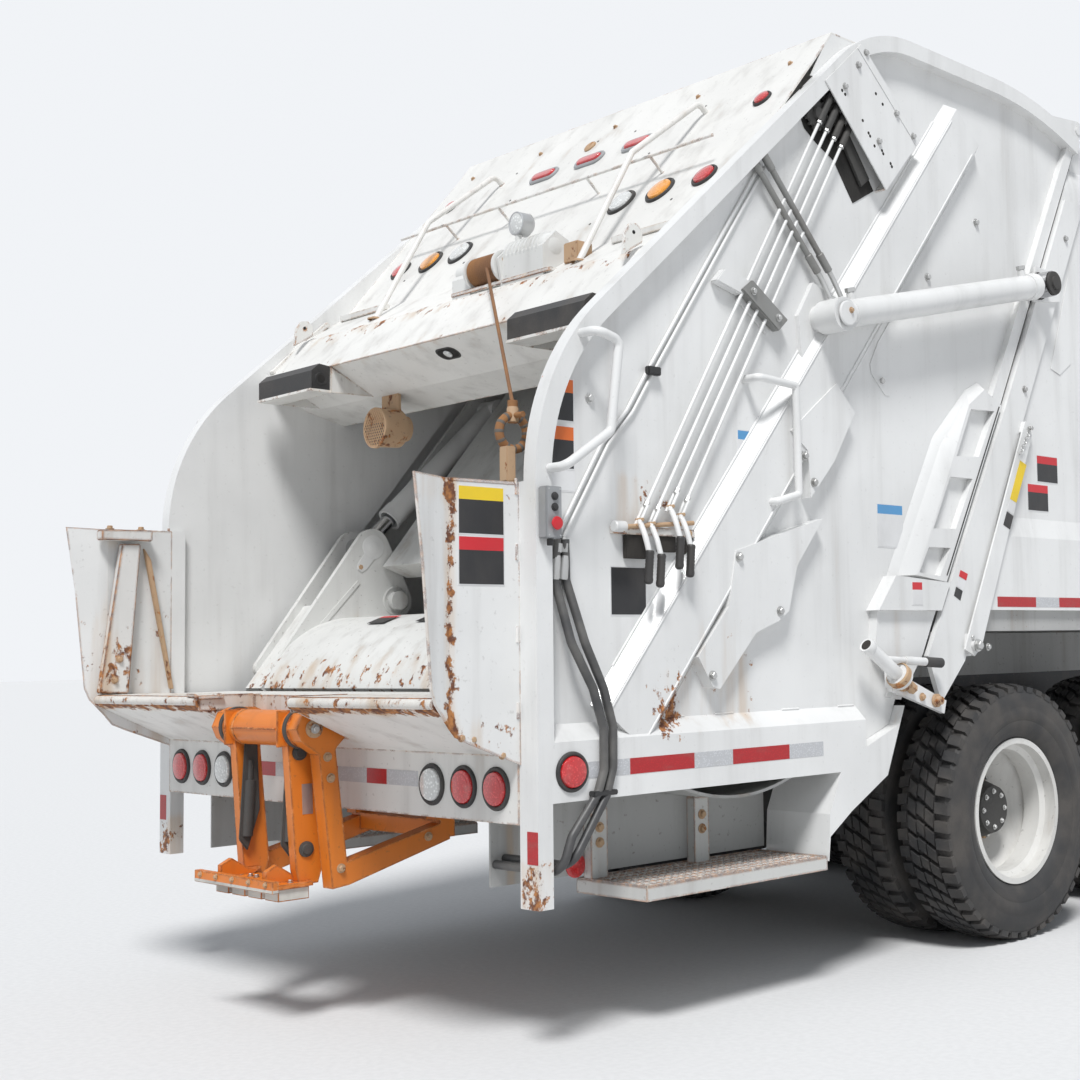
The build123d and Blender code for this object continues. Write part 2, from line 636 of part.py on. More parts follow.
with BuildPart() as grab_rails:
    for way in (-1, 1):
        pipe([point(way * (half_width + running_gap), 190, 2212),
              point(way * (half_width + 75), 190, 2212), point(way * (half_width + 75), 280, 2190),
              point(way * (half_width + 75), 240, 1900), point(way * (half_width + 75), 60, 1778),
              point(way * (half_width + running_gap), 60, 1778)], 15, 30)
    pipe([point(wall_x + running_gap, 960, 2160), point(wall_x + 75, 960, 2160),
          point(wall_x + 75, 1150, 2150), point(wall_x + 75, 1155, 1760),
          point(wall_x + 75, 1045, 1730),
          point(wall_x + channel_height + running_gap, 1045, 1730)], 14, 14)
write(grab_rails, "grab_rails")

with BuildPart() as steel_pipes:
    for step in (0, 28):
        pipe([point(wall_x + 6 + running_gap, s + step, z)
              for s, z in ((1060, 2950), (503, 2135), (410, 1993), (303, 1876),
                           (119, 1573))], 6, 60)
write(steel_pipes, "steel_pipes")

# Hoses from the pipes' ends, over the side beam and inward under it to the support plate
hose_radius = 14.0
hose_wall_x = wall_x + hose_radius + running_gap
hose_beam_x = half_width + hose_radius + running_gap
hose_end_x = skirt_x + 4 + running_gap
with BuildPart() as hoses:
    for route in ([(114, 1566), (104, 1440), (125, 1246), (208, 1105), (249, 978), (248, 853),
                   (223, 785), (120, 664), (80, 560)],
                  [(146, 1566), (148, 1440), (178, 1246), (250, 1103), (286, 985), (284, 858),
                   (256, 775), (170, 651), (116, 575)]):
        upper = [point(hose_wall_x, s, z) for s, z in route[:2]]
        lower = [point(hose_beam_x, s, z) for s, z in route[2:]]
        pipe(upper + lower + [point(hose_end_x, *route[-1])], hose_radius, 50)
write(hoses, "hoses")

# Winch on the ledge: housing, drum between flanges, gearbox, and the lamp over it
drum_axis = (620.0, 2672.0)
drum_radius = 38.0
with BuildPart() as winch:
    for low, high, points in ((-40, 72, [(690, 2700), (640, 2720), (590, 2660)]),
                              (268, 280, [(700, 2725), (620, 2740), (570, 2690)]),
                              (280, 520, [(712, 2735), (650, 2762), (590, 2700)])):
        foot = [(s, ledge_z(s) + 0.4) for s in (590, 705)]
        plate(side(low), foot + points, high - low)
    across(*drum_axis, (72, 268), drum_radius)
    for x in (72, 250):
        across(*drum_axis, (x, x + 10), 55)
    bar(point(300, 650, 2750), point(300, 650, 2800), 12)
    bar(point(300, 640, 2830), point(300, 690, 2834), 42)
write(winch, "winch")

# Cable from the drum down to its hook and rope coil at the right post
cable_radius = 6.0
cable_clear = 53.0          # cable to the post's inner face
cable_foot = (half_width - post_width - cable_clear, 30.0, 1990.0)
coil_radius = 14.0
with BuildPart() as winch_cable:
    start = point(200, drum_axis[0] - drum_radius - cable_radius - running_gap, drum_axis[1])
    bar(start, point(*cable_foot), cable_radius)
    bar(point(*cable_foot) + Vector(0, 0, 10), point(cable_foot[0], cable_foot[1], 1930), coil_radius + 2)
    with Locations(Plane(origin=point(cable_foot[0], cable_foot[1], 1900), z_dir=(1, 0, 0))):
        Torus(52, coil_radius)
    across(cable_foot[1], 1952, (cable_foot[0], half_width - post_width - running_gap), 9)
write(winch_cable, "winch_cable")

# Cart lifter: fixed posts, collars and struts, and the tube, arms and pad head that turn
post_x = (226.0, 286.0)
sill_under = lamp_panel_high - 8 - running_gap
lifter_half = 200.0
with BuildPart() as lifter_base:
    for way in (-1, 1):
        low = post_x[0] if way > 0 else -post_x[1]
        width = post_x[1] - post_x[0]
        plate(side(low), [(-252, 985), (-230, 1035), (-190, 1050), (-120, 1050), (-75.3, 1030),
                          (-75.3, 950), (-105, 920), (-115, 900), (-172, 900), (-235, 945)], width)
        plate(side(low), [(-172, 920), (-110, 920), (-58, 462), (-120, 455)], width)
        plate(side(low), [(-62, 540), (-110, 500), (-58, 462), (340, 572), (340, 640)], width)
        plate(side(low), [(280, 640), (360, 640), (400, sill_under), (300, sill_under)], width)
        across(*lifter_pivot, sorted((way * (lifter_half + 3), way * post_x[0])), lifter_tube + 4)
    block((-post_x[1], post_x[1]), (300, 360), (580, 640))
    across(*lifter_pivot, (-post_x[1] - 1, post_x[1] + 1), lifter_stub + 0.5, mode=Mode.SUBTRACT)
    with Locations(point(0, *blade_pivot)):
        Cylinder(floor_radius + floor_plate, 3000, rotation=(0, 90, 0), mode=Mode.SUBTRACT)
write(lifter_base, "lifter_base")

with BuildPart() as lifter_arms:
    across(*lifter_pivot, (-lifter_half, lifter_half), lifter_tube)
    across(*lifter_pivot, (-post_x[1] + 2, post_x[1] - 2), lifter_stub)
    for way in (-1, 1):
        low = way * 175 - 20
        plate(side(low), [(-235, 985), (-145, 985), (-105, 520), (-120, 470), (-190, 470),
                          (-200, 520)], 40)
        plate(side(way * 150 - 12), [(-190, 500), (-140, 500), (-200, 462), (-290, 462), (-290, 520),
                                     (-250, 540)], 24)
    block((-215, 215), (-300, -150), (466, 480))
    block((-262, 262), (-322, -300), (462, 500))
    for x in (-210, -100, 10, 120):
        block((x, x + 85), (-270, -160), (425, 466))
write(lifter_arms, "lifter_arms")

# Screw locks at the tailgate's lower front corners
lock_x = half_width + 45
with BuildPart() as tailgate_locks:
    for way in (-1, 1):
        x = way * lock_x
        bar(point(x, 1480, 1222), point(x, 1700, 1082), 26)
        bar(point(x, 1655, 1110), point(x, 1690, 1088), 44)
        bar(point(x, 1560, 1171), point(x, 1700, 1162), 12)
        bar(point(x, 1700, 1162), point(x, 1930, 1147), 16)
        low = lock_x - 38 if way > 0 else -lock_x + 16
        plate(side(low), [(1640, 1120), (1720, 1100), (1975, 1000), (1960, 950), (1850, 985),
                          (1640, 1050)], 22)
        block(sorted((way * (wall_x + 39), way * (lock_x - 37))), (1650, 1730), (1060, 1120))
write(tailgate_locks, "tailgate_locks")

# Load body: bent shell over a floor, open to the tailgate along the slanted joint
joint_shift = joint_gap * 1.14


def joint_s(z):
    """Station of the body's rear edge at a height."""
    other = roof_end if z > joint_mid[1] else joint_low
    slope = (other[0] - joint_mid[0]) / (other[1] - joint_mid[1])
    return joint_mid[0] + (z - joint_mid[1]) * slope + joint_shift


def cut_joint(low):
    """Take away what lies behind the slanted rear edge of the body, above a height."""
    plate(side(-2 * half_width), [(1500, low), (joint_s(low), low), (joint_s(joint_mid[1]), joint_mid[1]),
                                  (joint_s(4000), 4000), (1500, 4000)],
          4 * half_width, mode=Mode.SUBTRACT)


def body_outline(half, low, high, radius):
    """Cross-section of the body: upright sides and a roof with rounded shoulders."""
    with BuildSketch(cross(body_front_s)) as outline:
        with BuildLine():
            line = FilletPolyline((-half, low), (-half, high), (half, high), (half, low),
                                  radius=radius)
            Line(line @ 1, line @ 0)
        make_face()
    return outline.sketch


column_foot = (2143.0, 1152.0)
column_knee = (2401.0, 1755.0)


def column_front(z):
    """Station of the front edge of the body's columns, low down, with a running gap."""
    slope = (column_knee[0] - column_foot[0]) / (column_knee[1] - column_foot[1])
    return column_foot[0] + (z - column_foot[1]) * slope + running_gap * 1.2


body_length = body_front_s - 1900
with BuildPart() as body_shell:
    extrude(body_outline(body_half, body_floor_z, body_roof_z, roof_corner_r), amount=body_length)
    extrude(body_outline(body_half - skin, body_floor_z, body_roof_z - skin, roof_corner_r - skin),
            amount=body_length, mode=Mode.SUBTRACT)
    # Lower side boxes with a sloping top
    for way in (-1, 1):
        with BuildSketch(cross(body_front_s)) as sill_box:
            with BuildLine():
                Polyline((way * (body_half - 1), body_floor_z), (way * half_width, body_floor_z),
                         (way * half_width, 1665), (way * (body_half - 1), 1752), close=True)
            make_face()
        extrude(sill_box.sketch, amount=body_length)
        # The boxes start ahead of the columns
        low = body_half if way > 0 else -half_width - 1
        plate(side(low), [(1900, 1300), (column_front(1300), 1300), (column_front(1800), 1800),
                          (1900, 1800)], half_width + 1 - body_half, mode=Mode.SUBTRACT)
    cut_joint(body_floor_z)
write(body_shell, "body_shell")

with BuildPart() as body_floor:
    floor_low = body_floor_z - skin
    block((-body_half, body_half), (joint_s(floor_low), body_front_s), (floor_low, body_floor_z))
    for way in (-1, 1):
        edge = sorted((way * body_half, way * (body_half - 60)))
        block(edge, (joint_s(floor_low), body_front_s), (1270, floor_low))
        edge = sorted((way * (rail_x - rail_flange), way * rail_x))
        block(edge, (joint_s(1270), body_front_s), (rail_top, 1270))
    for index in range(9):
        s = 2180 + index * 590
        block((-body_half + 60, body_half - 60), (s, s + 70), (1270, floor_low))
write(body_floor, "body_floor")

with BuildPart() as body_front:
    extrude(body_outline(body_half, body_floor_z, body_roof_z, roof_corner_r), amount=-skin)
    for x in (-body_half + 10, -300, 240, body_half - 70):
        block((x, x + 60), (body_front_s + skin, body_front_s + 46), (body_floor_z, 3250))
write(body_front, "body_front")

# Rear frame of the body: columns along the joint, lift pads, hinge brackets and safety props
column_width = 150.0
bracket_plate = 20.0
hinge_inner = wall_x - 125
pad_out = lift_x - rod_eye_half - 1
with BuildPart() as body_fittings:
    plate(side(body_half + running_gap),
          [(joint_s(3200), 3200), (joint_s(3200) + column_width, 3200),
           (joint_s(joint_mid[1]) + column_width, joint_mid[1]), column_knee, column_foot, (1993, 1002),
           (1978, 1002), (joint_s(1175), 1175), (joint_s(joint_mid[1]), joint_mid[1])],
          half_width - body_half - running_gap)
    block((body_half - 70, body_half), (joint_s(1270), joint_s(1270) + 260), (1170, 1269.7))
    block((body_half - 70, half_width), (joint_s(1200) + 20, joint_s(1200) + 200), (1170, 1200))
    plate(side(half_width), [(2700, 2690), (2900, 2720), (2930, 2840), (2720, 2850)], pad_out - half_width)
    across(*lift_head, (half_width, pad_out), 58)
    plate(side(half_width + 12), [(2591, 2157), (2659, 2149), (2231, 1206), (2182, 1169), (2120, 1198)], 8)
    plate(side(half_width), [(2591, 2157), (2659, 2149), (2640, 2105), (2570, 2110)], 14)
    plate(side(half_width), [(2150, 1260), (2235, 1230), (2215, 1190), (2140, 1210)], 14)
    across(2178, 1212, (half_width + 10, half_width + 38), 20)
    for low in (hinge_inner, wall_x - 37):
        plate(side(low), [(3105, 3560), (3195, 3560), (3300, 3440), (3300, 3200), (3180, 3200)],
              bracket_plate)
        across(*tail_hinge, (low, low + bracket_plate), 45)
    across(*tail_hinge, (hinge_inner, wall_x + 35), hinge_pin)
    with BuildSketch(cross(body_front_s)) as inside:
        with BuildLine():
            line = FilletPolyline((-body_half, 1270), (-body_half, body_roof_z), (body_half, body_roof_z),
                                  (body_half, 1270), radius=roof_corner_r)
            Line(line @ 1, line @ 0)
        make_face()
    extrude(inside.sketch, amount=body_length, mode=Mode.SUBTRACT)
    mirror(about=Plane.YZ)
write(body_fittings, "body_fittings")

with BuildPart() as ejector_panel:
    plate(side(-body_half + skin + 8), [(6100, 1364), (6980, 1364), (6980, 1800),
                                        (7040, 3300), (7040, 3420), (7016, 3420)],
          2 * (body_half - skin - 8))
    bay = body_half - 65
    for low, high in ((-bay, -420), (-380, 380), (420, bay)):
        plate(side(low), [(6119, 1378), (7100, 1378), (7100, 3300), (6976, 3300)], high - low,
              mode=Mode.SUBTRACT)
    for x in (-1000, 900):
        block((x, x + 100), (6130, 6960), (body_floor_z + running_gap, 1372))
    extrude(body_outline(body_half - skin - 8, body_floor_z - 50, body_roof_z - skin - 12,
                         roof_corner_r - skin - 8), amount=body_length, mode=Mode.INTERSECT)
write(ejector_panel, "ejector_panel")

# Chassis frame: channel rails, crossmembers and front plates with the tow eyes
rail_low = rail_top - rail_height
with BuildPart() as chassis_frame:
    for way in (-1, 1):
        block(sorted((way * rail_x, way * (rail_x - rail_web))), (rail_rear_s, front_s - 90),
              (rail_low, rail_top))
        for z in (rail_low, rail_top - rail_web):
            block(sorted((way * rail_x, way * (rail_x - rail_flange))), (rail_rear_s, front_s - 90),
                  (z, z + rail_web))
        low = rail_x if way > 0 else -rail_x - 20
        with BuildSketch(side(low)):
            with BuildLine():
                Polyline((8700, rail_low), (8700, rail_top), (front_s - 90, rail_top),
                         (front_s - 90, 350), (front_s - 190, 350), (front_s - 190, 560),
                         (8900, rail_low), close=True)
            make_face()
            with Locations((front_s - 140, 400)):
                Circle(tow_eye, mode=Mode.SUBTRACT)
        extrude(amount=20)
    for s in (1800, 3130, 4700, 5800, 6900, 8650, 9100):
        block((-rail_x + rail_web + running_gap, rail_x - rail_web - running_gap), (s, s + 80),
              (rail_low + 40, rail_top - 40))
write(chassis_frame, "chassis_frame")

# Axles: forged front beam with kingpin bosses, two rear housings with their spindles
with BuildPart() as axles:
    block((-kingpin_x, kingpin_x), (front_axle_s - 45, front_axle_s + 45), (440, 520))
    for way in (-1, 1):
        place = point(way * kingpin_x, front_axle_s, 430)
        bar(place, place + Vector(0, 0, 190), 52)
        bar(place - Vector(0, 0, 1), place + Vector(0, 0, 191), kingpin + 0.5, mode=Mode.SUBTRACT)
    for s in rear_axle_s:
        across(s, tyre_radius, (-560, 560), 75)
        across(s, tyre_radius, (-spindle_end, spindle_end), spindle)
        with Locations(point(0, s, tyre_radius)):
            Sphere(215)
write(axles, "axles")

with BuildPart() as suspension:
    for way in (-1, 1):
        low = rail_x - rail_flange if way > 0 else -rail_x
        with BuildSketch(side(low)):
            with BuildLine():
                ThreePointArc((front_axle_s - 700, 760), (front_axle_s, 585), (front_axle_s + 700, 760))
                Line((front_axle_s + 700, 760), (front_axle_s + 700, 690))
                ThreePointArc((front_axle_s + 700, 690), (front_axle_s, 520.3), (front_axle_s - 700, 690))
                Line((front_axle_s - 700, 690), (front_axle_s - 700, 760))
            make_face()
        extrude(amount=rail_flange)
        for s in (front_axle_s - 740, front_axle_s + 660):
            block(sorted((way * (rail_x - rail_flange), way * rail_x)), (s, s + 80), (690, rail_low))
        low = rail_x + 5 if way > 0 else -rail_x - 95
        middle = (rear_axle_s[0] + rear_axle_s[1]) / 2
        with BuildSketch(side(low)):
            with BuildLine():
                ThreePointArc((rear_axle_s[0] - 60, 620), (middle, 780), (rear_axle_s[1] + 60, 620))
                Line((rear_axle_s[1] + 60, 620), (rear_axle_s[1] + 60, 570))
                ThreePointArc((rear_axle_s[1] + 60, 570), (middle, 660), (rear_axle_s[0] - 60, 570))
                Line((rear_axle_s[0] - 60, 570), (rear_axle_s[0] - 60, 620))
            make_face()
        extrude(amount=90)
        for s in rear_axle_s:
            with Locations(point(way * (rail_x + 50), s, tyre_radius)):
                Cylinder(120, 90, rotation=(0, 90, 0))
        block(sorted((way * rail_x, way * (rail_x + 95))), (middle - 90, middle + 90), (700, 1000))
    for s in rear_axle_s:
        across(s, tyre_radius, (-rail_x - 110, rail_x + 110), 75.3, mode=Mode.SUBTRACT)
write(suspension, "suspension")

with BuildPart() as engine:
    block((-340, 340), (7150, 8500), (rail_top + 10, 1430))
    block((-330, 330), (7350, 8400), (640, rail_top + 10))
    for s in (7500, 8200):
        block((-400, 400), (s, s + 100), (rail_top + running_gap, rail_top + 60))
write(engine, "engine")

with BuildPart() as side_tanks:
    bar(point(860, 5300, 760), point(860, 6700, 760), 290)
    for s in (5500, 6450):
        block((rail_x, 620), (s, s + 60), (rail_low, 1000))
    block((-1150, -600), (5300, 6100), (560, 1040))
    block((-1150, -600), (6200, 6800), (560, 1000))
    for s in (5500, 6450):
        block((-605, -rail_x), (s, s + 60), (rail_low, 950))
write(side_tanks, "side_tanks")

with BuildPart() as exhaust_stack:
    bar(point(-900, 7260, 1130), point(-900, 7260, 3150), 62)
    bar(point(-900, 7260, 1500), point(-900, 7260, 2550), 125)
    block((-960, -rail_x + rail_flange), (7200, 7320), (rail_top, 1130))
write(exhaust_stack, "exhaust_stack")


# Wheels: tyre section turned about the axle, rim barrels with their discs and hubs
def axle_line(s):
    """Axis of an axle."""
    return Axis(point(0, s, tyre_radius), (1, 0, 0))


def ring(s, points):
    """Solid turned about an axle from an outline given as x and radius."""
    with BuildSketch(Plane(origin=point(0, s, tyre_radius), x_dir=(1, 0, 0), z_dir=(0, -1, 0))) as cut:
        with BuildLine():
            Polyline(*points, close=True)
        make_face()
    revolve(cut.sketch, axis=axle_line(s))


def tyre_ring(s, x):
    """Tyre: bead, bulged sidewalls, rounded shoulders and a tread out to its lugs' tips."""
    half, seat = tyre_width / 2, rim_radius + running_gap
    bead = rim_width_mm / 2 - 9
    with BuildSketch(Plane(origin=point(x, s, tyre_radius), x_dir=(1, 0, 0), z_dir=(0, -1, 0))) as cut:
        with BuildLine():
            Polyline((-bead, seat), (bead, seat), (bead, rim_flange + 2), (bead + 14, rim_flange + 14))
            ThreePointArc((bead + 14, rim_flange + 14), (half, 400), (half - 14, 490))
            Polyline((half - 14, 490), (half - 30, tyre_radius - 6), (half - 60, tyre_radius),
                     (60 - half, tyre_radius), (30 - half, tyre_radius - 6), (14 - half, 490))
            ThreePointArc((14 - half, 490), (-half, 400), (-bead - 14, rim_flange + 14))
            Polyline((-bead - 14, rim_flange + 14), (-bead, rim_flange + 2), (-bead, seat))
        make_face()
    revolve(cut.sketch, axis=axle_line(s))


def rim_barrel(s, x):
    """Rim barrel: two flanges, bead seats and a drop centre."""
    edge, seat = rim_width_mm / 2, rim_radius
    ring(s, [(x + edge, rim_flange), (x + edge - 8, rim_flange), (x + edge - 9, seat),
             (x + 50, seat - 2), (x + 35, seat - 24), (x - 35, seat - 24), (x - 50, seat - 2),
             (x - edge + 9, seat), (x - edge + 8, rim_flange), (x - edge, rim_flange),
             (x - edge, seat - 10), (x - 55, seat - 12), (x - 40, seat - 34), (x + 40, seat - 34),
             (x + 55, seat - 12), (x + edge, seat - 10)])


for end, s in (("forward", rear_axle_s[1]), ("aft", rear_axle_s[0])):
    for name, way in (("left", -1), ("right", 1)):
        with BuildPart() as tyres:
            for x in dual_x:
                tyre_ring(s, way * x)
        write(tyres, f"tyres_{end}_{name}")
        with BuildPart() as rims:
            for x in dual_x:
                rim_barrel(s, way * x)
            for centre, face in ((dual_x[0], disc_x), (dual_x[1], disc_x - 12)):
                lean = 60 if centre > disc_x else -60
                near = centre - lean
                ring(s, [(way * near, rim_radius - 12), (way * (near - 12), rim_radius - 12),
                         (way * (face - 0), 175), (way * face, spindle + 0.5),
                         (way * (face + 12), spindle + 0.5), (way * (face + 12), 170)])
            ring(s, [(way * (disc_x - 60), spindle + 0.5), (way * (disc_x - 60), 130),
                     (way * (disc_x + 60), 125), (way * (disc_x + 150), 95),
                     (way * (disc_x + 150), 0), (way * (spindle_end + 5), 0),
                     (way * (spindle_end + 5), spindle + 0.5)])
        write(rims, f"rims_{end}_{name}")

for name, way in (("left", -1), ("right", 1)):
    with BuildPart() as front_tyre:
        tyre_ring(front_axle_s, way * front_wheel_x)
    write(front_tyre, f"tyre_front_{name}")
    with BuildPart() as front_rim:
        rim_barrel(front_axle_s, way * front_wheel_x)
        near = front_wheel_x + 50
        ring(front_axle_s, [(way * near, rim_radius - 12), (way * (near + 12), rim_radius - 12),
                            (way * (hub_x + 12), 170), (way * (hub_x + 12), spindle + 0.5),
                            (way * hub_x, spindle + 0.5), (way * hub_x, 175)])
        ring(front_axle_s, [(way * (hub_x - 60), spindle + 0.5), (way * (hub_x - 60), 120),
                            (way * (hub_x + 20), 115), (way * (hub_x + 90), 80),
                            (way * (hub_x + 90), 0), (way * (hub_x + 40), 0),
                            (way * (hub_x + 40), spindle + 0.5)])
    write(front_rim, f"rim_front_{name}")
    with BuildPart() as knuckle:
        centre = point(way * kingpin_x, front_axle_s, 0)
        bar(centre + Vector(0, 0, 380), centre + Vector(0, 0, 670), kingpin)
        for z in (385, 622):
            bar(centre + Vector(0, 0, z), centre + Vector(0, 0, z + 43), 50)
            block(sorted((way * kingpin_x, way * (kingpin_x + 90))),
                  (front_axle_s - 45, front_axle_s + 45), (z, z + 43))
        block(sorted((way * (kingpin_x + 58), way * (kingpin_x + 90))),
              (front_axle_s - 60, front_axle_s + 60), (385, 665))
        across(front_axle_s, tyre_radius, sorted((way * (kingpin_x + 58), way * (hub_x + 35))), spindle)
    write(knuckle, f"knuckle_{name}")

# Cab: hollow shell with cut windows, door openings, wheel arches and the engine tunnel
screen_half = cab_half - 150
rear_window_half = 700.0
past_cab = cab_half + 110
with BuildPart() as cab_shell:
    plate(side(-cab_half), [(cab_rear_s, 500), (cab_front_s, 500), (cab_front_s, 1350),
                            (9060, 2720), (8930, cab_roof_z), (cab_rear_s, cab_roof_z)], 2 * cab_half)
    plate(side(-cab_half + cab_wall), [(cab_rear_s + cab_wall, 1240), (8430, 1240), (8430, 560),
                                       (9130, 560), (9130, 1350), (9015, 2690), (8900, 2800),
                                       (cab_rear_s + cab_wall, 2800)],
          2 * (cab_half - cab_wall), mode=Mode.SUBTRACT)
    block((-tunnel_half, tunnel_half), (cab_rear_s + 10, cab_front_s - 10), (1100, 1500))
    block((-tunnel_half + 40, tunnel_half - 40), (cab_rear_s - 10, cab_front_s - 40), (0, 1450),
          mode=Mode.SUBTRACT)
    with Locations(point(0, front_axle_s, tyre_radius)):
        Cylinder(arch_radius, 3000, rotation=(0, 90, 0), mode=Mode.SUBTRACT)
    block((-rail_x - 40, rail_x + 40), (8600, cab_front_s + 1), (0, rail_top + 20), mode=Mode.SUBTRACT)
    block((-past_cab, past_cab), (7000, front_axle_s), (0, 1175), mode=Mode.SUBTRACT)
    plate(side(-screen_half), [(8980, 1420), (9300, 1420), (9300, 2600), (8980, 2600)],
          2 * screen_half, mode=Mode.SUBTRACT)
    block((-rear_window_half, rear_window_half), (cab_rear_s - 10, cab_rear_s + cab_wall + 10),
          (1900, 2500), mode=Mode.SUBTRACT)
    block((-past_cab, past_cab), door_s, door_z, mode=Mode.SUBTRACT)
    block((-past_cab, past_cab), quarter_s, quarter_z, mode=Mode.SUBTRACT)
    block((-tunnel_half + 1, tunnel_half - 1), door_s, (door_z[0], 1500))
    block((-tunnel_half + 40, tunnel_half - 40), (door_s[0] - 10, door_s[1] + 10), (0, 1450),
          mode=Mode.SUBTRACT)
write(cab_shell, "cab_shell")

with BuildPart() as cab_glass:
    screen_pane = screen_half - running_gap
    plate(side(-screen_pane), [(9150, 1420.3), (9158, 1420.3), (9064, 2599.7), (9056, 2599.7)],
          2 * screen_pane)
    rear_pane = rear_window_half - running_gap
    block((-rear_pane, rear_pane), (cab_rear_s + 20, cab_rear_s + 27), (1900.3, 2499.7))
    for way in (-1, 1):
        block(sorted((way * (cab_half - 26), way * (cab_half - 20))),
              (quarter_s[0] + running_gap, quarter_s[1] - running_gap),
              (quarter_z[0] + running_gap, quarter_z[1] - running_gap))
write(cab_glass, "cab_glass")

door_gap = 5.0
for name, way in (("left", -1), ("right", 1)):
    with BuildPart() as door:
        block(sorted((way * (cab_half - cab_wall), way * cab_half)),
              (door_s[0] + door_gap + 3, door_s[1] - door_gap),
              (door_z[0] + door_gap, door_z[1] - door_gap))
        block(sorted((way * (cab_half - cab_wall - 1), way * (cab_half + 1))), door_window_s,
              door_window_z, mode=Mode.SUBTRACT)
        block(sorted((way * (cab_half - 40), way * (cab_half - 8))),
              (door_window_s[0] - 10, door_window_s[1] + 10),
              (door_window_z[0] - 10, door_window_z[1] + 10), mode=Mode.SUBTRACT)
        for s in (door_s[0] + 90, door_s[0] + 220):
            across(s, 1330, sorted((way * (cab_half - 10), way * (cab_half + 30))), 9)
        bar(point(way * (cab_half + 30), door_s[0] + 75, 1330),
            point(way * (cab_half + 30), door_s[0] + 235, 1330), 11)
    write(door, f"door_{name}")
    with BuildPart() as pane:
        block(sorted((way * (cab_half - 27), way * (cab_half - 21))),
              (door_window_s[0] - 9.7, door_window_s[1] + 9.7),
              (door_window_z[0] - 9.7, door_window_z[1] + 9.7))
    write(pane, f"door_glass_{name}")

with BuildPart() as bumper:
    block((-cab_half, cab_half), (cab_front_s + running_gap, front_s), (430, 760))
    fillet(bumper.edges().filter_by(Axis.Z).group_by(Axis.Y)[-1], 60)
    block((-520, 520), (cab_front_s + running_gap, cab_front_s + 24), (775, 1160))
write(bumper, "bumper")

with BuildPart() as front_lamps:
    outer_lamp, inner_lamp = cab_half - 160, cab_half - 340
    for x in (-outer_lamp, -inner_lamp, inner_lamp, outer_lamp):
        with Locations(Plane(origin=point(x, cab_front_s + running_gap, 900), z_dir=(0, 1, 0))):
            Cylinder(85, 30, align=(Align.CENTER, Align.CENTER, Align.MIN))
write(front_lamps, "front_lamps")

seat_in = tunnel_half + 20
seat_out = cab_half - cab_wall - 40
seat_x = (seat_in + seat_out) / 2
seat_half = (seat_out - seat_in) / 2
with BuildPart() as cab_interior:
    for x in (-seat_x, seat_x):
        block((x - seat_half, x + seat_half), (7950, 8420), (1240 + running_gap, 1660))
        plate(side(x - seat_half), [(7800, 1500), (7960, 1500), (7880, 2300), (7780, 2300)],
              2 * seat_half)
        block((x - seat_half + 40, x + seat_half - 40), (7850, 7951), (1500, 1640))
    plate(side(-cab_half + cab_wall + running_gap),
          [(9129.7, 1300), (9000, 1340), (8980, 1500), (9060, 1600), (9108, 1600)],
          2 * (cab_half - cab_wall - running_gap))
    block((-tunnel_half, tunnel_half), (8900, 9200), (1000, 1500 + running_gap), mode=Mode.SUBTRACT)
    bar(point(-seat_x, 9010, 1450), point(-seat_x, 8750, 1647.6), 28)
    with Locations(Plane(origin=point(-seat_x, 8750, 1648), z_dir=(0, -0.796, 0.605))):
        Torus(225, 16)
        Box(420, 30, 16)
write(cab_interior, "cab_interior")

with BuildPart() as mirrors:
    for way in (-1, 1):
        for z in (1750, 2350):
            bar(point(way * cab_half, 9080, z), point(way * (cab_half + 140), 9150, z), 12)
        block(sorted((way * (cab_half + 60), way * (cab_half + 230))), (9130, 9180), (1700, 2400))
    block((-cab_half - running_gap, cab_half + running_gap), (9000, 9250), (1600, 2500),
          mode=Mode.SUBTRACT)
write(mirrors, "mirrors")
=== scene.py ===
"""Looks of a white rear loader garbage truck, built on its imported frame."""
import logging
import math
from dataclasses import dataclass, field
from enum import Enum

import bmesh
import bpy
from mathutils import Matrix, Vector


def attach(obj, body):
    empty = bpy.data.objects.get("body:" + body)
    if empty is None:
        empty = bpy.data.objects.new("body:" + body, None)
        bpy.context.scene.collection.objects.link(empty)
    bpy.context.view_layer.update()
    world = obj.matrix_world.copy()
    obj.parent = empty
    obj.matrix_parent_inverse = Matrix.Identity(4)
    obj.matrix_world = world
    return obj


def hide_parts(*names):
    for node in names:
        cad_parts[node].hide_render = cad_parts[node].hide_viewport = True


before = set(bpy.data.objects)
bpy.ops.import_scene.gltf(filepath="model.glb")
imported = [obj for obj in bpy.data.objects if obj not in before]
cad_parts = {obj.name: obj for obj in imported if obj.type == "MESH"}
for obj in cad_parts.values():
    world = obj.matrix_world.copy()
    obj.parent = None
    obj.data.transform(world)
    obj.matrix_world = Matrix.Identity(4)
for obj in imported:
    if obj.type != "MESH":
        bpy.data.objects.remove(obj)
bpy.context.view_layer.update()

log = logging.getLogger("truck")
Colour = tuple[float, float, float]
Place = tuple[float, float, float]
Flat = tuple[float, float]

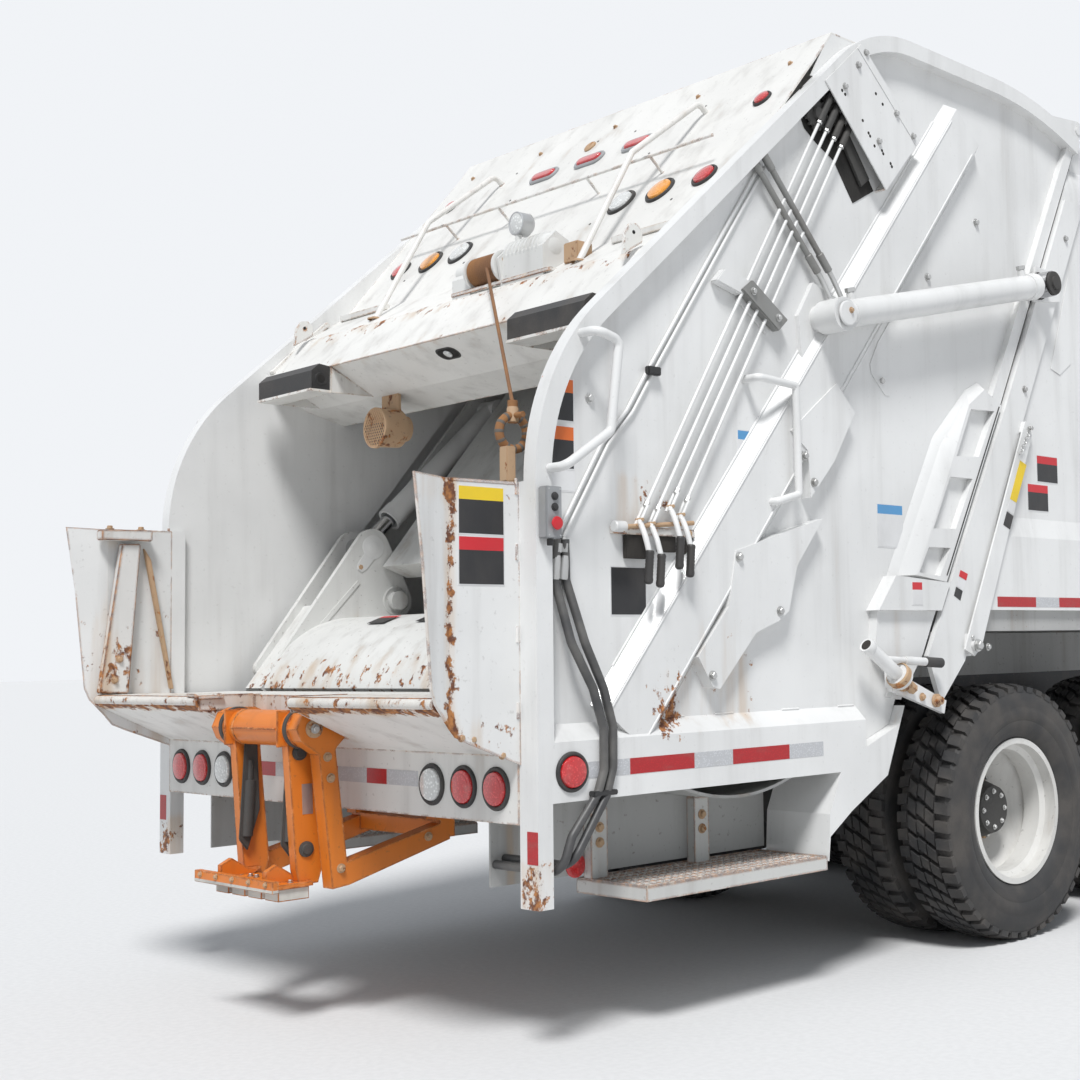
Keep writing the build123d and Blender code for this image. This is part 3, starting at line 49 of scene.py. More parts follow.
TAIL_Y = -4.437405          # Y of the rear lamp panel, from which stations are counted
HALF_WIDTH = 1.217
GUARD_X = HALF_WIDTH - 0.089
WALL_X = 1.165
CHANNEL_FACE = WALL_X + 0.045
LIFT_EYE = (2.729, 2.762)   # Station and height of the lift cylinders' eyes on the body
LIFT_FOOT = (1.340, 2.425)  # The same of their pivots on the tailgate
RIGHT = Vector((1, 0, 0))
AHEAD = Vector((0, 1, 0))
REAR = Vector((0, -1, 0))
UP = Vector((0, 0, 1))
SIDES = ((-1, -RIGHT), (1, RIGHT))


def at(x: float, s: float, z: float) -> Vector:
    """Place in the truck's frame from x, station forward of the lamp panel and height."""
    return Vector((x, TAIL_Y + s, z))


def between(a: float, b: float) -> Flat:
    """Two values in rising order."""
    return min(a, b), max(a, b)


def turns(count: int) -> list[float]:
    """Angles of a full turn in equal steps."""
    return [2 * math.pi * index / count for index in range(count)]


def spoke(angle: float, radius: float) -> Vector:
    """Step away from an axis that lies along X."""
    return Vector((0, math.cos(angle), math.sin(angle))) * radius


# Finishes
class Tree:
    """Node tree of a material or of the world."""

    def __init__(self, tree: bpy.types.NodeTree) -> None:
        """Take the tree's nodes and links."""
        self.nodes, self.links = tree.nodes, tree.links

    def put(self, target: bpy.types.NodeSocket, value: object) -> None:
        """Link a socket to a target, or set the target's own value.

        Args:
            target: The input to feed.
            value: A socket, a number or a colour.
        """
        if isinstance(value, bpy.types.NodeSocket):
            self.links.new(value, target)
        elif isinstance(value, tuple) and len(value) == 3 and target.type == "RGBA":
            target.default_value = (*value, 1.0)
        else:
            target.default_value = value

    def node(self, kind: str, values: dict[int | str, object], **settings: object) -> bpy.types.Node:
        """New node with its inputs fed.

        Args:
            kind: Blender's name of the node after ShaderNode.
            values: Socket, number or colour for inputs, by place or name.
            **settings: Other settings of the node.

        Returns:
            The node.
        """
        node = self.nodes.new(f"ShaderNode{kind}")
        for name, setting in settings.items():
            setattr(node, name, setting)
        for name, value in values.items():
            self.put(node.inputs[name], value)
        return node


class Graph(Tree):
    """Node graph of one material, built outwards from its principled shader."""

    def __init__(self, name: str) -> None:
        """Start an empty material of that name.

        Args:
            name: Name of the material.
        """
        self.material = bpy.data.materials.new(name)
        self.material.use_nodes = True
        super().__init__(self.material.node_tree)
        self.shader = self.nodes["Principled BSDF"]
        self.place = self.node("TexCoord", {}).outputs["Object"]

    def set(self, name: str, value: object) -> None:
        """Feed one input of the principled shader."""
        self.put(self.shader.inputs[name], value)

    def math(self, operation: str, a: object, b: object = 0.0) -> bpy.types.NodeSocket:
        """Result of an operation on one or two values."""
        return self.node("Math", {0: a, 1: b}, operation=operation).outputs[0]

    def vector(self, operation: str, a: object, b: object = (0, 0, 0)) -> bpy.types.NodeSocket:
        """Result of an operation on one or two vectors."""
        return self.node("VectorMath", {0: a, 1: b}, operation=operation).outputs[0]

    def noise(self, scale: float, stretch: Place = (1, 1, 1), detail: float = 5.0,
            rough: float = 0.55) -> bpy.types.NodeSocket:
        """Cloudy noise from 0 to 1.

        Args:
            scale: Features for each metre.
            stretch: Scale of each axis before the noise.
            detail: Octaves.
            rough: Weight of the small octaves.

        Returns:
            The noise's value.
        """
        place = self.vector("MULTIPLY", self.place, stretch) if stretch != (1, 1, 1) else self.place
        values = {"Vector": place, "Scale": scale, "Detail": detail, "Roughness": rough}
        return self.node("TexNoise", values).outputs[0]

    def cells(self, scale: float) -> bpy.types.NodeSocket:
        """Distance to the nearest of scattered points; the scale is their number for each metre."""
        return self.node("TexVoronoi", {"Vector": self.place, "Scale": scale}).outputs["Distance"]

    def step(self, value: object, low: float, high: float) -> bpy.types.NodeSocket:
        """Smooth step from 0 at low to 1 at high."""
        values = {"Value": value, "From Min": low, "From Max": high}
        return self.node("MapRange", values, interpolation_type="SMOOTHSTEP").outputs[0]

    def mix(self, share: object, a: object, b: object) -> bpy.types.NodeSocket:
        """Colour that goes from a at share 0 to b at share 1."""
        return self.node("Mix", {0: share, 6: a, 7: b}, data_type="RGBA").outputs[2]

    def blend(self, share: object, a: float, b: float) -> bpy.types.NodeSocket:
        """Number that goes from a at share 0 to b at share 1."""
        return self.node("MapRange", {"Value": share, "To Min": a, "To Max": b}).outputs[0]

    def bump(self, height: object, strength: float, depth: float = 0.002) -> None:
        """Relief of the surface from a height."""
        node = self.node("Bump", {"Strength": strength, "Distance": depth, "Height": height})
        self.set("Normal", node.outputs[0])

    def edges(self, radius: float) -> bpy.types.NodeSocket:
        """0 on flat faces, near 1 along sharp edges within a radius.

        Args:
            radius: Reach from an edge in metres.

        Returns:
            The share.
        """
        bevel = self.node("Bevel", {"Radius": radius}, samples=3)
        geometry = self.node("NewGeometry", {})
        dot = self.node("VectorMath", {0: bevel.outputs[0], 1: geometry.outputs["Normal"]},
            operation="DOT_PRODUCT")
        return self.step(self.math("SUBTRACT", 1.0, dot.outputs["Value"]), 0.01, 0.12)

    def inside(self, low: Place, high: Place, soft: float) -> bpy.types.NodeSocket:
        """1 inside a box of the truck's frame, falling to 0 over a soft border.

        Args:
            low: Lowest x, station and height.
            high: Highest x, station and height.
            soft: Width of the border in metres.

        Returns:
            The share.
        """
        a, b = at(*low), at(*high)
        size = self.vector("ABSOLUTE", self.vector("SUBTRACT", self.place, (a + b) / 2))
        x, y, z = self.node("SeparateXYZ", {0: self.vector("SUBTRACT", size, (b - a) / 2)}).outputs
        most = self.math("MAXIMUM", self.math("MAXIMUM", x, y), z)
        return self.math("SUBTRACT", 1.0, self.step(most, -soft / 2, soft / 2))


@dataclass(frozen=True)
class Zone:
    """Box of the truck's frame in which paint has given way to rust."""

    low: Place
    high: Place
    amount: float = 0.3
    soft: float = 0.12


@dataclass(frozen=True)
class Finish:
    """Plain coated surface with cloudy colour, fine relief and some grime."""

    name: str
    colour: Colour
    roughness: float = 0.5
    metallic: float = 0.0
    grain: float = 90.0
    relief: float = 0.15
    grime: Colour = (0.16, 0.14, 0.12)
    grime_share: float = 0.25
    coat: float = 0.0
    transmission: float = 0.0

    def material(self) -> bpy.types.Material:
        """Material of this finish, made once.

        Returns:
            The material.
        """
        name = f"look_{self.name}"
        found = bpy.data.materials.get(name)
        if found:
            return found
        graph = Graph(name)
        self.build(graph)
        return graph.material

    def build(self, graph: Graph) -> None:
        """Fill the graph with this finish's nodes.

        Args:
            graph: Graph of the new material.
        """
        cloud = graph.noise(2.6)
        fine = graph.noise(self.grain, detail=3.0)
        dirty = graph.math("MULTIPLY", graph.step(graph.noise(6.0, (1, 1, 0.5)), 0.42, 0.78),
            self.grime_share)
        shade = tuple(c * 0.86 for c in self.colour)
        base = graph.mix(graph.step(cloud, 0.3, 0.7), shade, self.colour)
        graph.set("Base Color", graph.mix(dirty, base, self.grime))
        graph.set("Roughness", graph.blend(graph.math("ADD", fine, dirty), self.roughness - 0.06,
            self.roughness + 0.14))
        graph.set("Metallic", self.metallic)
        graph.set("Coat Weight", self.coat)
        graph.set("Transmission Weight", self.transmission)
        graph.bump(fine, self.relief)


@dataclass(frozen=True)
class Paint(Finish):
    """Truck paint with run-down grime, chips along edges and rust where water sits."""

    streak: float = 0.35
    rust: float = 0.0
    chips: float = 0.0
    zones: tuple[Zone, ...] = ()
    rust_light: Colour = (0.45, 0.19, 0.06)
    rust_dark: Colour = (0.13, 0.05, 0.03)
    stain: Colour = (0.62, 0.42, 0.24)

    def build(self, graph: Graph) -> None:
        """Fill the graph with paint, grime, stains and rust.

        Args:
            graph: Graph of the new material.
        """
        cloud = graph.noise(1.7)
        runs = graph.noise(9.0, (1, 1, 0.09), 4.0)
        fine = graph.noise(self.grain, detail=3.0)
        patch = graph.noise(22.0, (1, 1, 0.8), 6.0, 0.68)
        shade = tuple(c * 0.9 for c in self.colour)
        base = graph.mix(graph.step(cloud, 0.32, 0.68), shade, self.colour)
        dirt = graph.math("MULTIPLY", graph.step(runs, 0.47, 0.8), self.streak)
        base = graph.mix(dirt, base, self.grime)
        speck = graph.math("MULTIPLY", graph.step(graph.noise(55.0, detail=6.0), 0.62, 0.72),
            self.grime_share)
        base = graph.mix(speck, base, self.grime)
        worn: object = self.rust
        for zone in self.zones:
            inside = graph.math("MULTIPLY", graph.inside(zone.low, zone.high, zone.soft), zone.amount)
            worn = graph.math("ADD", worn, inside)
        if self.chips:
            edge = graph.math("MULTIPLY", graph.edges(0.012), self.chips)
            worn = graph.math("ADD", worn, edge)
        level = graph.math("ADD", patch, worn)
        stained = graph.math("MULTIPLY", graph.step(graph.math("ADD", worn, runs), 0.66, 1.05), 0.65)
        rusty = graph.step(level, 0.78, 0.84)
        base = graph.mix(stained, base, self.stain)
        tone = graph.mix(graph.step(graph.noise(48.0), 0.38, 0.66), self.rust_dark, self.rust_light)
        graph.set("Base Color", graph.mix(rusty, base, tone))
        graph.set("Roughness", graph.blend(graph.math("ADD", rusty, graph.math("MULTIPLY", dirt, 0.5)),
            self.roughness, 0.85))
        graph.set("Coat Weight", self.coat)
        height = graph.math("ADD", graph.math("MULTIPLY", fine, 0.2), graph.math("MULTIPLY", rusty, patch))
        graph.bump(height, self.relief, 0.003)


@dataclass(frozen=True)
class Lens(Finish):
    """Moulded lamp lens with small prisms under a glossy face; the prisms carry a painted glint."""

    prisms: float = 120.0

    def build(self, graph: Graph) -> None:
        """Fill the graph with prisms, their lighter cells a painted glint, a dull dusty film and gloss.

        Args:
            graph: Graph of the new material.
        """
        cell = graph.cells(self.prisms)
        # Painted glint: lighter prism cells stand in for light caught by the prisms
        lit = tuple(min(1.0, c * 1.35 + 0.03) for c in self.colour)
        base = graph.mix(graph.step(cell, 0.15, 0.5), lit, self.colour)
        dust = graph.math("MULTIPLY", graph.step(graph.noise(14.0), 0.5, 0.75), 0.22)
        graph.set("Base Color", graph.mix(dust, base, (0.45, 0.42, 0.38)))
        graph.set("Roughness", graph.blend(dust, 0.12, 0.6))
        graph.set("Coat Weight", 0.8)
        graph.bump(cell, 0.35, 0.001)


@dataclass(frozen=True)
class Rubber(Finish):
    """Black rubber with brown road dust in its hollows."""

    dust: Colour = (0.17, 0.15, 0.13)

    def build(self, graph: Graph) -> None:
        """Fill the graph with rubber, dust and fine pores.

        Args:
            graph: Graph of the new material.
        """
        cloud = graph.step(graph.noise(7.0, detail=7.0), 0.35, 0.75)
        fine = graph.noise(self.grain, detail=4.0)
        graph.set("Base Color", graph.mix(graph.math("MULTIPLY", cloud, self.grime_share), self.colour,
            self.dust))
        graph.set("Roughness", graph.blend(graph.math("MULTIPLY", cloud, fine), self.roughness - 0.1,
            self.roughness + 0.25))
        graph.bump(fine, self.relief, 0.002)


@dataclass(frozen=True)
class Tape(Finish):
    """Reflecting tape with a fine honeycomb."""

    def build(self, graph: Graph) -> None:
        """Fill the graph with honeycomb cells, gloss and dirt.

        Args:
            graph: Graph of the new material.
        """
        cell = graph.cells(160.0)
        pale = tuple(c * 0.8 for c in self.colour)
        base = graph.mix(graph.step(cell, 0.2, 0.45), self.colour, pale)
        dirt = graph.math("MULTIPLY", graph.step(graph.noise(9.0, (1, 1, 3)), 0.5, 0.8), 0.35)
        graph.set("Base Color", graph.mix(dirt, base, self.grime))
        graph.set("Roughness", graph.blend(dirt, 0.28, 0.7))
        graph.bump(cell, 0.1, 0.0006)


WHITE: Colour = (0.79, 0.79, 0.78)
BOARD_RUST = (
    Zone((-1.0, 1.30, 3.30), (0.85, 1.40, 3.50), 0.10),
    Zone((-1.0, 0.99, 3.02), (1.0, 1.03, 3.06), 0.22, 0.05),
    Zone((-1.1, 0.53, 2.52), (1.1, 0.60, 2.61), 0.20, 0.05),
    Zone((-1.1, 0.40, 2.36), (1.1, 0.45, 2.44), 0.17, 0.06),
    Zone((-0.7, 0.60, 2.56), (0.7, 0.95, 3.15), 0.05),
)
SIDE_RUST = (
    Zone((1.16, 0.46, 0.93), (1.22, 0.60, 1.15), 0.26, 0.16),
    Zone((1.16, 0.38, 1.60), (1.19, 0.60, 1.78), 0.34, 0.12),
    Zone((1.16, 0.55, 0.98), (1.22, 0.98, 1.30), 0.20, 0.25),
    Zone((1.12, -0.02, 0.44), (1.23, 0.08, 0.60), 0.35, 0.10),
    Zone((-1.23, -0.02, 0.44), (-1.12, 0.08, 0.60), 0.35, 0.10),
    Zone((1.16, 1.30, 0.80), (1.23, 1.95, 1.35), 0.12, 0.25),
    Zone((1.10, 0.00, 1.10), (1.18, 0.06, 1.90), 0.10, 0.10),
    Zone((-1.2, 0.1, 0.9), (1.16, 1.2, 1.5), 0.10, 0.3),
)
GUARD_RUST = (
    Zone((-1.3, -0.45, 0.90), (-1.1, 0.05, 1.42), 0.22, 0.25),
    Zone((1.10, -0.27, 0.94), (1.20, -0.22, 1.75), 0.30, 0.05),
    Zone((1.10, -0.40, 0.90), (1.22, 0.02, 1.03), 0.22, 0.12),
    Zone((-1.3, -0.42, 1.66), (1.3, 0.02, 1.76), 0.12, 0.06),
)
SILL_RUST = (
    Zone((-1.2, -0.32, 1.03), (1.2, -0.255, 1.10), 0.32, 0.05),
    Zone((-0.42, -0.32, 0.95), (0.42, 0.0, 1.10), 0.16, 0.15),
    Zone((-1.2, -0.30, 1.06), (1.2, 0.3, 1.12), 0.08, 0.05),
)
BLADE_RUST = (
    Zone((-1.1, 0.20, 1.05), (1.1, 0.42, 1.22), 0.18, 0.15),
    Zone((0.80, 0.30, 1.05), (1.1, 0.9, 1.75), 0.10, 0.15),
    Zone((-1.1, 0.6, 1.36), (1.1, 0.75, 1.42), 0.10, 0.08),
)


class Look(Enum):
    """Finishes of the truck's pieces."""

    BODY = Paint("body_white", WHITE, 0.33, grime_share=0.10, relief=0.18, coat=0.15, streak=0.20,
        zones=SIDE_RUST)
    HOOD = Paint("hood_white", (0.80, 0.79, 0.76), 0.4, grime_share=0.25, relief=0.25, streak=0.30,
        rust=0.02, chips=0.24, zones=BOARD_RUST)
    GUARD = Paint("guard_white", (0.77, 0.77, 0.76), 0.4, grime_share=0.2, relief=0.3, streak=0.25,
        rust=0.02, chips=0.28, zones=GUARD_RUST)
    SILL = Paint("sill_white", (0.76, 0.75, 0.72), 0.45, grime_share=0.3, relief=0.35, streak=0.35,
        rust=0.04, chips=0.30, zones=SILL_RUST)
    PACKER = Paint("packer_white", (0.72, 0.72, 0.70), 0.42, grime_share=0.4, relief=0.3, streak=0.4,
        rust=0.06, zones=BLADE_RUST)
    HOPPER = Paint("hopper_steel", (0.42, 0.42, 0.41), 0.5, grime_share=0.6, relief=0.4, streak=0.6,
        rust=0.08)
    CAB = Paint("cab_white", (0.80, 0.80, 0.80), 0.22, grime_share=0.06, relief=0.08, coat=0.5, streak=0.10)
    CHASSIS = Paint("chassis_black", (0.035, 0.035, 0.038), 0.5, grime_share=0.5, relief=0.3, streak=0.5,
        grime=(0.15, 0.13, 0.11), rust=0.05)
    ORANGE = Paint("lifter_orange", (0.72, 0.20, 0.02), 0.4, grime_share=0.3, relief=0.3, streak=0.3,
        grime=(0.12, 0.07, 0.04), rust=0.06, chips=0.32)
    RUSTY = Paint("bare_rust", (0.50, 0.33, 0.20), 0.7, grime_share=0.5, relief=0.6, streak=0.5, rust=0.22)
    WINCH = Paint("winch_white", (0.72, 0.72, 0.70), 0.35, grime_share=0.3, relief=0.3, streak=0.3,
        rust=0.04)
    ROPE = Finish("rope_brown", (0.22, 0.11, 0.055), 0.85, relief=0.8, grain=300.0, grime=(0.42, 0.2, 0.07),
        grime_share=0.6)
    WHEEL = Paint("wheel_white", (0.72, 0.71, 0.68), 0.4, grime_share=0.35, relief=0.25, streak=0.3,
        rust=0.05)
    TYRE = Rubber("tyre_black", (0.028, 0.028, 0.029), 0.72, grain=180.0, relief=0.35, grime_share=0.35)
    RUBBER = Rubber("stop_rubber", (0.022, 0.022, 0.023), 0.6, grain=120.0, relief=0.4, grime_share=0.3)
    HOSE = Rubber("hose_rubber", (0.05, 0.05, 0.052), 0.5, grain=160.0, relief=0.25, grime_share=0.5,
        dust=(0.24, 0.23, 0.21))
    PLASTIC = Finish("black_plastic", (0.025, 0.025, 0.026), 0.42, grain=260.0, relief=0.2)
    TRIM = Finish("cab_trim", (0.10, 0.10, 0.11), 0.7, grain=220.0, relief=0.4)
    STEEL = Finish("bright_steel", (0.58, 0.58, 0.57), 0.32, 1.0, grain=140.0, relief=0.15)
    CHROME = Finish("rod_chrome", (0.62, 0.62, 0.63), 0.16, 1.0, grain=60.0, relief=0.04)
    CAST = Finish("cast_iron", (0.07, 0.068, 0.065), 0.65, 0.3, grain=80.0, relief=0.5)
    CAST_GREY = Finish("grey_casting", (0.30, 0.30, 0.29), 0.5, 0.4, grain=90.0, relief=0.4,
        grime_share=0.5)
    LIP = Paint("lip_worn", (0.72, 0.70, 0.66), 0.5, grime_share=0.4, relief=0.5, streak=0.4, rust=0.20,
        chips=0.35)
    LATCH = Paint("latch_worn", (0.76, 0.75, 0.73), 0.45, grime_share=0.3, relief=0.4, streak=0.4,
        rust=0.10, chips=0.35, zones=(Zone((-1.2, -0.40, 1.0), (-1.0, 0.1, 1.35), 0.18, 0.2),))
    GREY_ROPE = Finish("rope_grey", (0.13, 0.12, 0.11), 0.8, relief=0.8, grain=260.0)
    WORK_GLASS = Finish("work_lamp_glass", (0.16, 0.15, 0.13), 0.15, relief=0.1, grime=(0.3, 0.2, 0.1))
    BUMPER_TRIM = Finish("arch_black", (0.03, 0.03, 0.032), 0.55, grain=200.0, relief=0.25)
    TANK = Finish("tank_metal", (0.55, 0.56, 0.57), 0.38, 0.9, grain=50.0, relief=0.12)
    EXHAUST = Finish("exhaust_metal", (0.33, 0.30, 0.27), 0.5, 0.8, grain=70.0, relief=0.2,
        grime=(0.3, 0.15, 0.07))
    STEP = Paint("step_metal", (0.60, 0.60, 0.58), 0.45, grime_share=0.4, relief=0.3, streak=0.3, rust=0.06,
        chips=0.35)
    RED_LENS = Lens("lens_red", (0.52, 0.012, 0.015), 0.15)
    AMBER_LENS = Lens("lens_amber", (0.80, 0.30, 0.01), 0.15)
    CLEAR_LENS = Lens("lens_clear", (0.62, 0.63, 0.62), 0.15, prisms=90.0)
    RED_TAPE = Tape("tape_red", (0.50, 0.015, 0.02), 0.3, grime=(0.2, 0.12, 0.1))
    SILVER_TAPE = Tape("tape_silver", (0.62, 0.63, 0.65), 0.3, grime=(0.4, 0.38, 0.35))
    NYLON = Finish("white_nylon", (0.70, 0.69, 0.64), 0.5, grain=90.0, relief=0.3, grime_share=0.5)
    PLATE_BLACK = Finish("plate_black", (0.02, 0.02, 0.022), 0.35, grime_share=0.15)
    PLATE_RED = Finish("plate_red", (0.62, 0.02, 0.03), 0.35, grime_share=0.15)
    PLATE_ORANGE = Finish("plate_orange", (0.75, 0.16, 0.03), 0.35, grime_share=0.15)
    PLATE_YELLOW = Finish("plate_yellow", (0.85, 0.60, 0.02), 0.35, grime_share=0.15)
    PLATE_BLUE = Finish("plate_blue", (0.10, 0.33, 0.62), 0.35, grime_share=0.15)
    PLATE_WHITE = Finish("plate_white", (0.78, 0.78, 0.78), 0.35, grime_share=0.2)
    BUTTON_CASE = Finish("button_case", (0.35, 0.36, 0.37), 0.45, grime_share=0.3)
    GLASS = Finish("window_glass", (0.60, 0.68, 0.66), 0.04, relief=0.02, grime_share=0.04,
        transmission=0.9)
    MIRROR = Finish("mirror_face", (0.75, 0.77, 0.78), 0.05, 1.0, relief=0.01, grime_share=0.05)
    # Painted shade: near-black stand-in for the shade inside holes, bores, slots, openings and gaps between
    # parts
    PAINTED_SHADE = Finish("painted_shade_pit", (0.012, 0.011, 0.010), 0.8, grain=120.0, relief=0.4)


# Mesh building
class Shape:
    """Piece under construction: forms in the truck's frame, each with its finish."""

    def __init__(self, name: str) -> None:
        """Start an empty piece of that name.

        Args:
            name: Name of the piece.
        """
        self.name = name
        self.mesh = bmesh.new()
        self.finishes: list[Look] = []

    def tint(self, faces: list[bmesh.types.BMFace], finish: Look) -> None:
        """Give faces a finish.

        Args:
            faces: Faces of the mesh.
            finish: Their finish.
        """
        if finish not in self.finishes:
            self.finishes.append(finish)
        index = self.finishes.index(finish)
        for face in faces:
            face.material_index = index

    def ring(self, middle: Vector, across: Vector, up: Vector, radius: float,
            steps: int) -> list[bmesh.types.BMVert]:
        """Corners of a circle.

        Args:
            middle: Its centre.
            across: Direction of the first corner.
            up: Direction a quarter turn on.
            radius: Its radius.
            steps: Number of corners.

        Returns:
            The corners in order.
        """
        spots = [middle + (across * math.cos(a) + up * math.sin(a)) * radius for a in turns(steps)]
        return [self.mesh.verts.new(spot) for spot in spots]

    def walls(self, low: list[bmesh.types.BMVert],
            high: list[bmesh.types.BMVert]) -> list[bmesh.types.BMFace]:
        """Four-sided faces between two closed rows of as many corners.

        Args:
            low: Corners of one row, in order.
            high: Corners of the other.

        Returns:
            The faces in order.
        """
        after = [(i + 1) % len(low) for i in range(len(low))]
        return [self.mesh.faces.new((low[i], low[j], high[j], high[i])) for i, j in enumerate(after)]

    def prism(self, outline: list[Vector], along: Vector, finish: Look, round_off: float = 0.0) -> None:
        """Closed outline pushed along a vector, with its edges rounded off.

        Args:
            outline: Corners in order, in one plane.
            along: Push.
            finish: Finish of its faces.
            round_off: Width of the rounding of all edges.
        """
        low = [self.mesh.verts.new(p) for p in outline]
        high = [self.mesh.verts.new(p + along) for p in outline]
        faces = [self.mesh.faces.new(low[::-1]), self.mesh.faces.new(high), *self.walls(low, high)]
        if round_off:
            kept = set(self.mesh.faces) - set(faces)
            edges = {e for f in faces for e in f.edges}
            bmesh.ops.bevel(self.mesh, geom=list(edges), offset=round_off, segments=2, affect="EDGES",
                clamp_overlap=True)
            faces = [f for f in self.mesh.faces if f not in kept]
        self.tint(faces, finish)

    def tapered(self, low: list[Vector], high: list[Vector], finish: Look) -> None:
        """Two outlines of as many corners, joined by flat sides.

        Args:
            low: Corners of the wide end, in order.
            high: Corners of the narrow end, in the same order.
            finish: Finish of its faces.
        """
        base = [self.mesh.verts.new(p) for p in low]
        top = [self.mesh.verts.new(p) for p in high]
        faces = [self.mesh.faces.new(base[::-1]), self.mesh.faces.new(top), *self.walls(base, top)]
        self.tint(faces, finish)

    def side_slab(self, points: list[Flat], x: Flat, finish: Look, round_off: float = 0.0) -> None:
        """Outline of stations and heights between two values of x."""
        self.prism([at(x[0], s, z) for s, z in points], Vector((x[1] - x[0], 0, 0)), finish, round_off)

    def box(self, x: Flat, s: Flat, z: Flat, finish: Look, round_off: float = 0.0) -> None:
        """Box between two values of x, of station and of height."""
        self.side_slab([(s[0], z[0]), (s[1], z[0]), (s[1], z[1]), (s[0], z[1])], x, finish, round_off)

    def turned(self, centre: Vector, axis: Vector, outline: list[Flat], finish: Look, steps: int = 32,
            closed: bool = False) -> None:
        """Outline turned about an axis.

        Args:
            centre: Place from which distances along the axis are counted.
            axis: Direction of the axis.
            outline: Distances along the axis and radii; a radius of 0 closes an end.
            finish: Finish of its faces.
            steps: Faces round the axis.
            closed: Join the last ring to the first.
        """
        axis = axis.normalized()
        across = axis.orthogonal().normalized()
        up = axis.cross(across)
        rings = []
        for along, radius in outline:
            middle = centre + axis * along
            if radius == 0:
                rings.append([self.mesh.verts.new(middle)])
                continue
            rings.append(self.ring(middle, across, up, radius, steps))
        pairs = list(zip(rings, rings[1:] + (rings[:1] if closed else [])))
        faces = []
        for a, b in (pairs if closed else pairs[:len(rings) - 1]):
            if len(a) > 1 and len(b) > 1:
                faces += self.walls(a, b)
            elif len(b) > 1:
                faces += [self.mesh.faces.new((a[0], b[i], b[(i + 1) % steps])) for i in range(steps)]
            elif len(a) > 1:
                faces += [self.mesh.faces.new((a[i], a[(i + 1) % steps], b[0])) for i in range(steps)]
        self.tint(faces, finish)

    def rod(self, start: Vector, end: Vector, radius: float, finish: Look, steps: int = 16) -> None:
        """Round bar with slightly rounded ends.

        Args:
            start: Middle of one end.
            end: Middle of the other.
            radius: Its radius.
            finish: Finish of its faces.
            steps: Faces round it.
        """
        run = (end - start).length
        lip = min(radius * 0.2, run * 0.2)
        self.turned(start, end - start, [(0, 0), (0, radius - lip), (lip, radius), (run - lip, radius),
            (run, radius - lip), (run, 0)], finish, steps)

    def bent_bar(self, points: list[Vector], radius: float, finish: Look, bend: float = 0.03,
            steps: int = 12) -> None:
        """Round steel bar along straight runs, with a bend at each corner.

        Args:
            points: Ends and corners in order.
            radius: Radius of the bar.
            finish: Finish of its faces.
            bend: Length of run that a bend takes on each side.
            steps: Faces round the bar.
        """
        line = [points[0]]
        for before, corner, after in zip(points, points[1:], points[2:]):
            enter = corner + (before - corner).normalized() * min(bend, (before - corner).length * 0.45)
            leave = corner + (after - corner).normalized() * min(bend, (after - corner).length * 0.45)
            for i in range(7):
                t = i / 6
                line.append(enter * (1 - t) ** 2 + corner * 2 * t * (1 - t) + leave * t ** 2)
        line.append(points[-1])
        across = (line[1] - line[0]).orthogonal().normalized()
        rings = []
        for i, place in enumerate(line):
            way = (line[min(i + 1, len(line) - 1)] - line[max(i - 1, 0)]).normalized()
            across = (across - way * across.dot(way)).normalized()
            up = way.cross(across)
            rings.append(self.ring(place, across, up, radius, steps))
        faces = [self.mesh.faces.new(rings[0][::-1]), self.mesh.faces.new(rings[-1])]
        for a, b in zip(rings, rings[1:]):
            faces += self.walls(a, b)
        self.tint(faces, finish)

    def seal(self, corners: list[Vector], radius: float) -> None:
        """Round rubber seal along a closed run of corners."""
        for start, end in zip(corners, corners[1:] + corners[:1]):
            self.rod(start, end, radius, Look.RUBBER, 8)

    def bolt(self, centre: Vector, axis: Vector, width: float, finish: Look) -> None:
        """Hexagon head on a washer, its seat at the centre.

        Args:
            centre: Middle of its seat.
            axis: Direction from the seat to the head.
            width: Width of the head.
            finish: Finish of its faces.
        """
        self.turned(centre, axis, [(0, 0), (0, width * 0.72), (width * 0.12, width * 0.72),
            (width * 0.12, 0)], finish, 20)
        self.turned(centre, axis, [(width * 0.12, width * 0.5), (width * 0.5, width * 0.5),
            (width * 0.6, width * 0.4), (width * 0.6, 0)], finish, 6)

    def done(self, body: str, smooth: float = 35.0, slot: str | None = None) -> bpy.types.Object:
        """Finish the piece and let it ride on a body.

        Args:
            body: Name of the body that carries it.
            smooth: Edges sharper than this many degrees stay sharp.
            slot: Not used.

        Returns:
            The new object.
        """
        bmesh.ops.recalc_face_normals(self.mesh, faces=self.mesh.faces)
        data = bpy.data.meshes.new(self.name)
        self.mesh.to_mesh(data)
        self.mesh.free()
        data.shade_smooth()
        data.set_sharp_from_angle(angle=math.radians(smooth))
        for finish in self.finishes:
            data.materials.append(finish.value.material())
        piece = bpy.data.objects.new(self.name, data)
        bpy.context.scene.collection.objects.link(piece)
        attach(piece, body)
        log.info("%s on %s: %d faces", self.name, body, len(data.polygons))
        return piece


def dress(finish: Look, *nodes: str) -> None:
    """Give solids of the frame a finish, where the frame has them.

    Args:
        finish: The finish.
        *nodes: Names of the solids.
    """
    for name in nodes:
        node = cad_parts.get(name)
        if node is None:
            log.info("no node %s", name)
            continue
        node.data.materials.clear()
        node.data.materials.append(finish.value.material())


def stands_for(piece: bpy.types.Object, *nodes: str) -> None:
    """Hide the frame's solids that a new piece replaces, where the frame has them.

    Args:
        piece: Not used.
        *nodes: Names of the solids that it stands for.
    """
    known = [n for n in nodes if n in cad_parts]
    if known:
        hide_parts(*known)


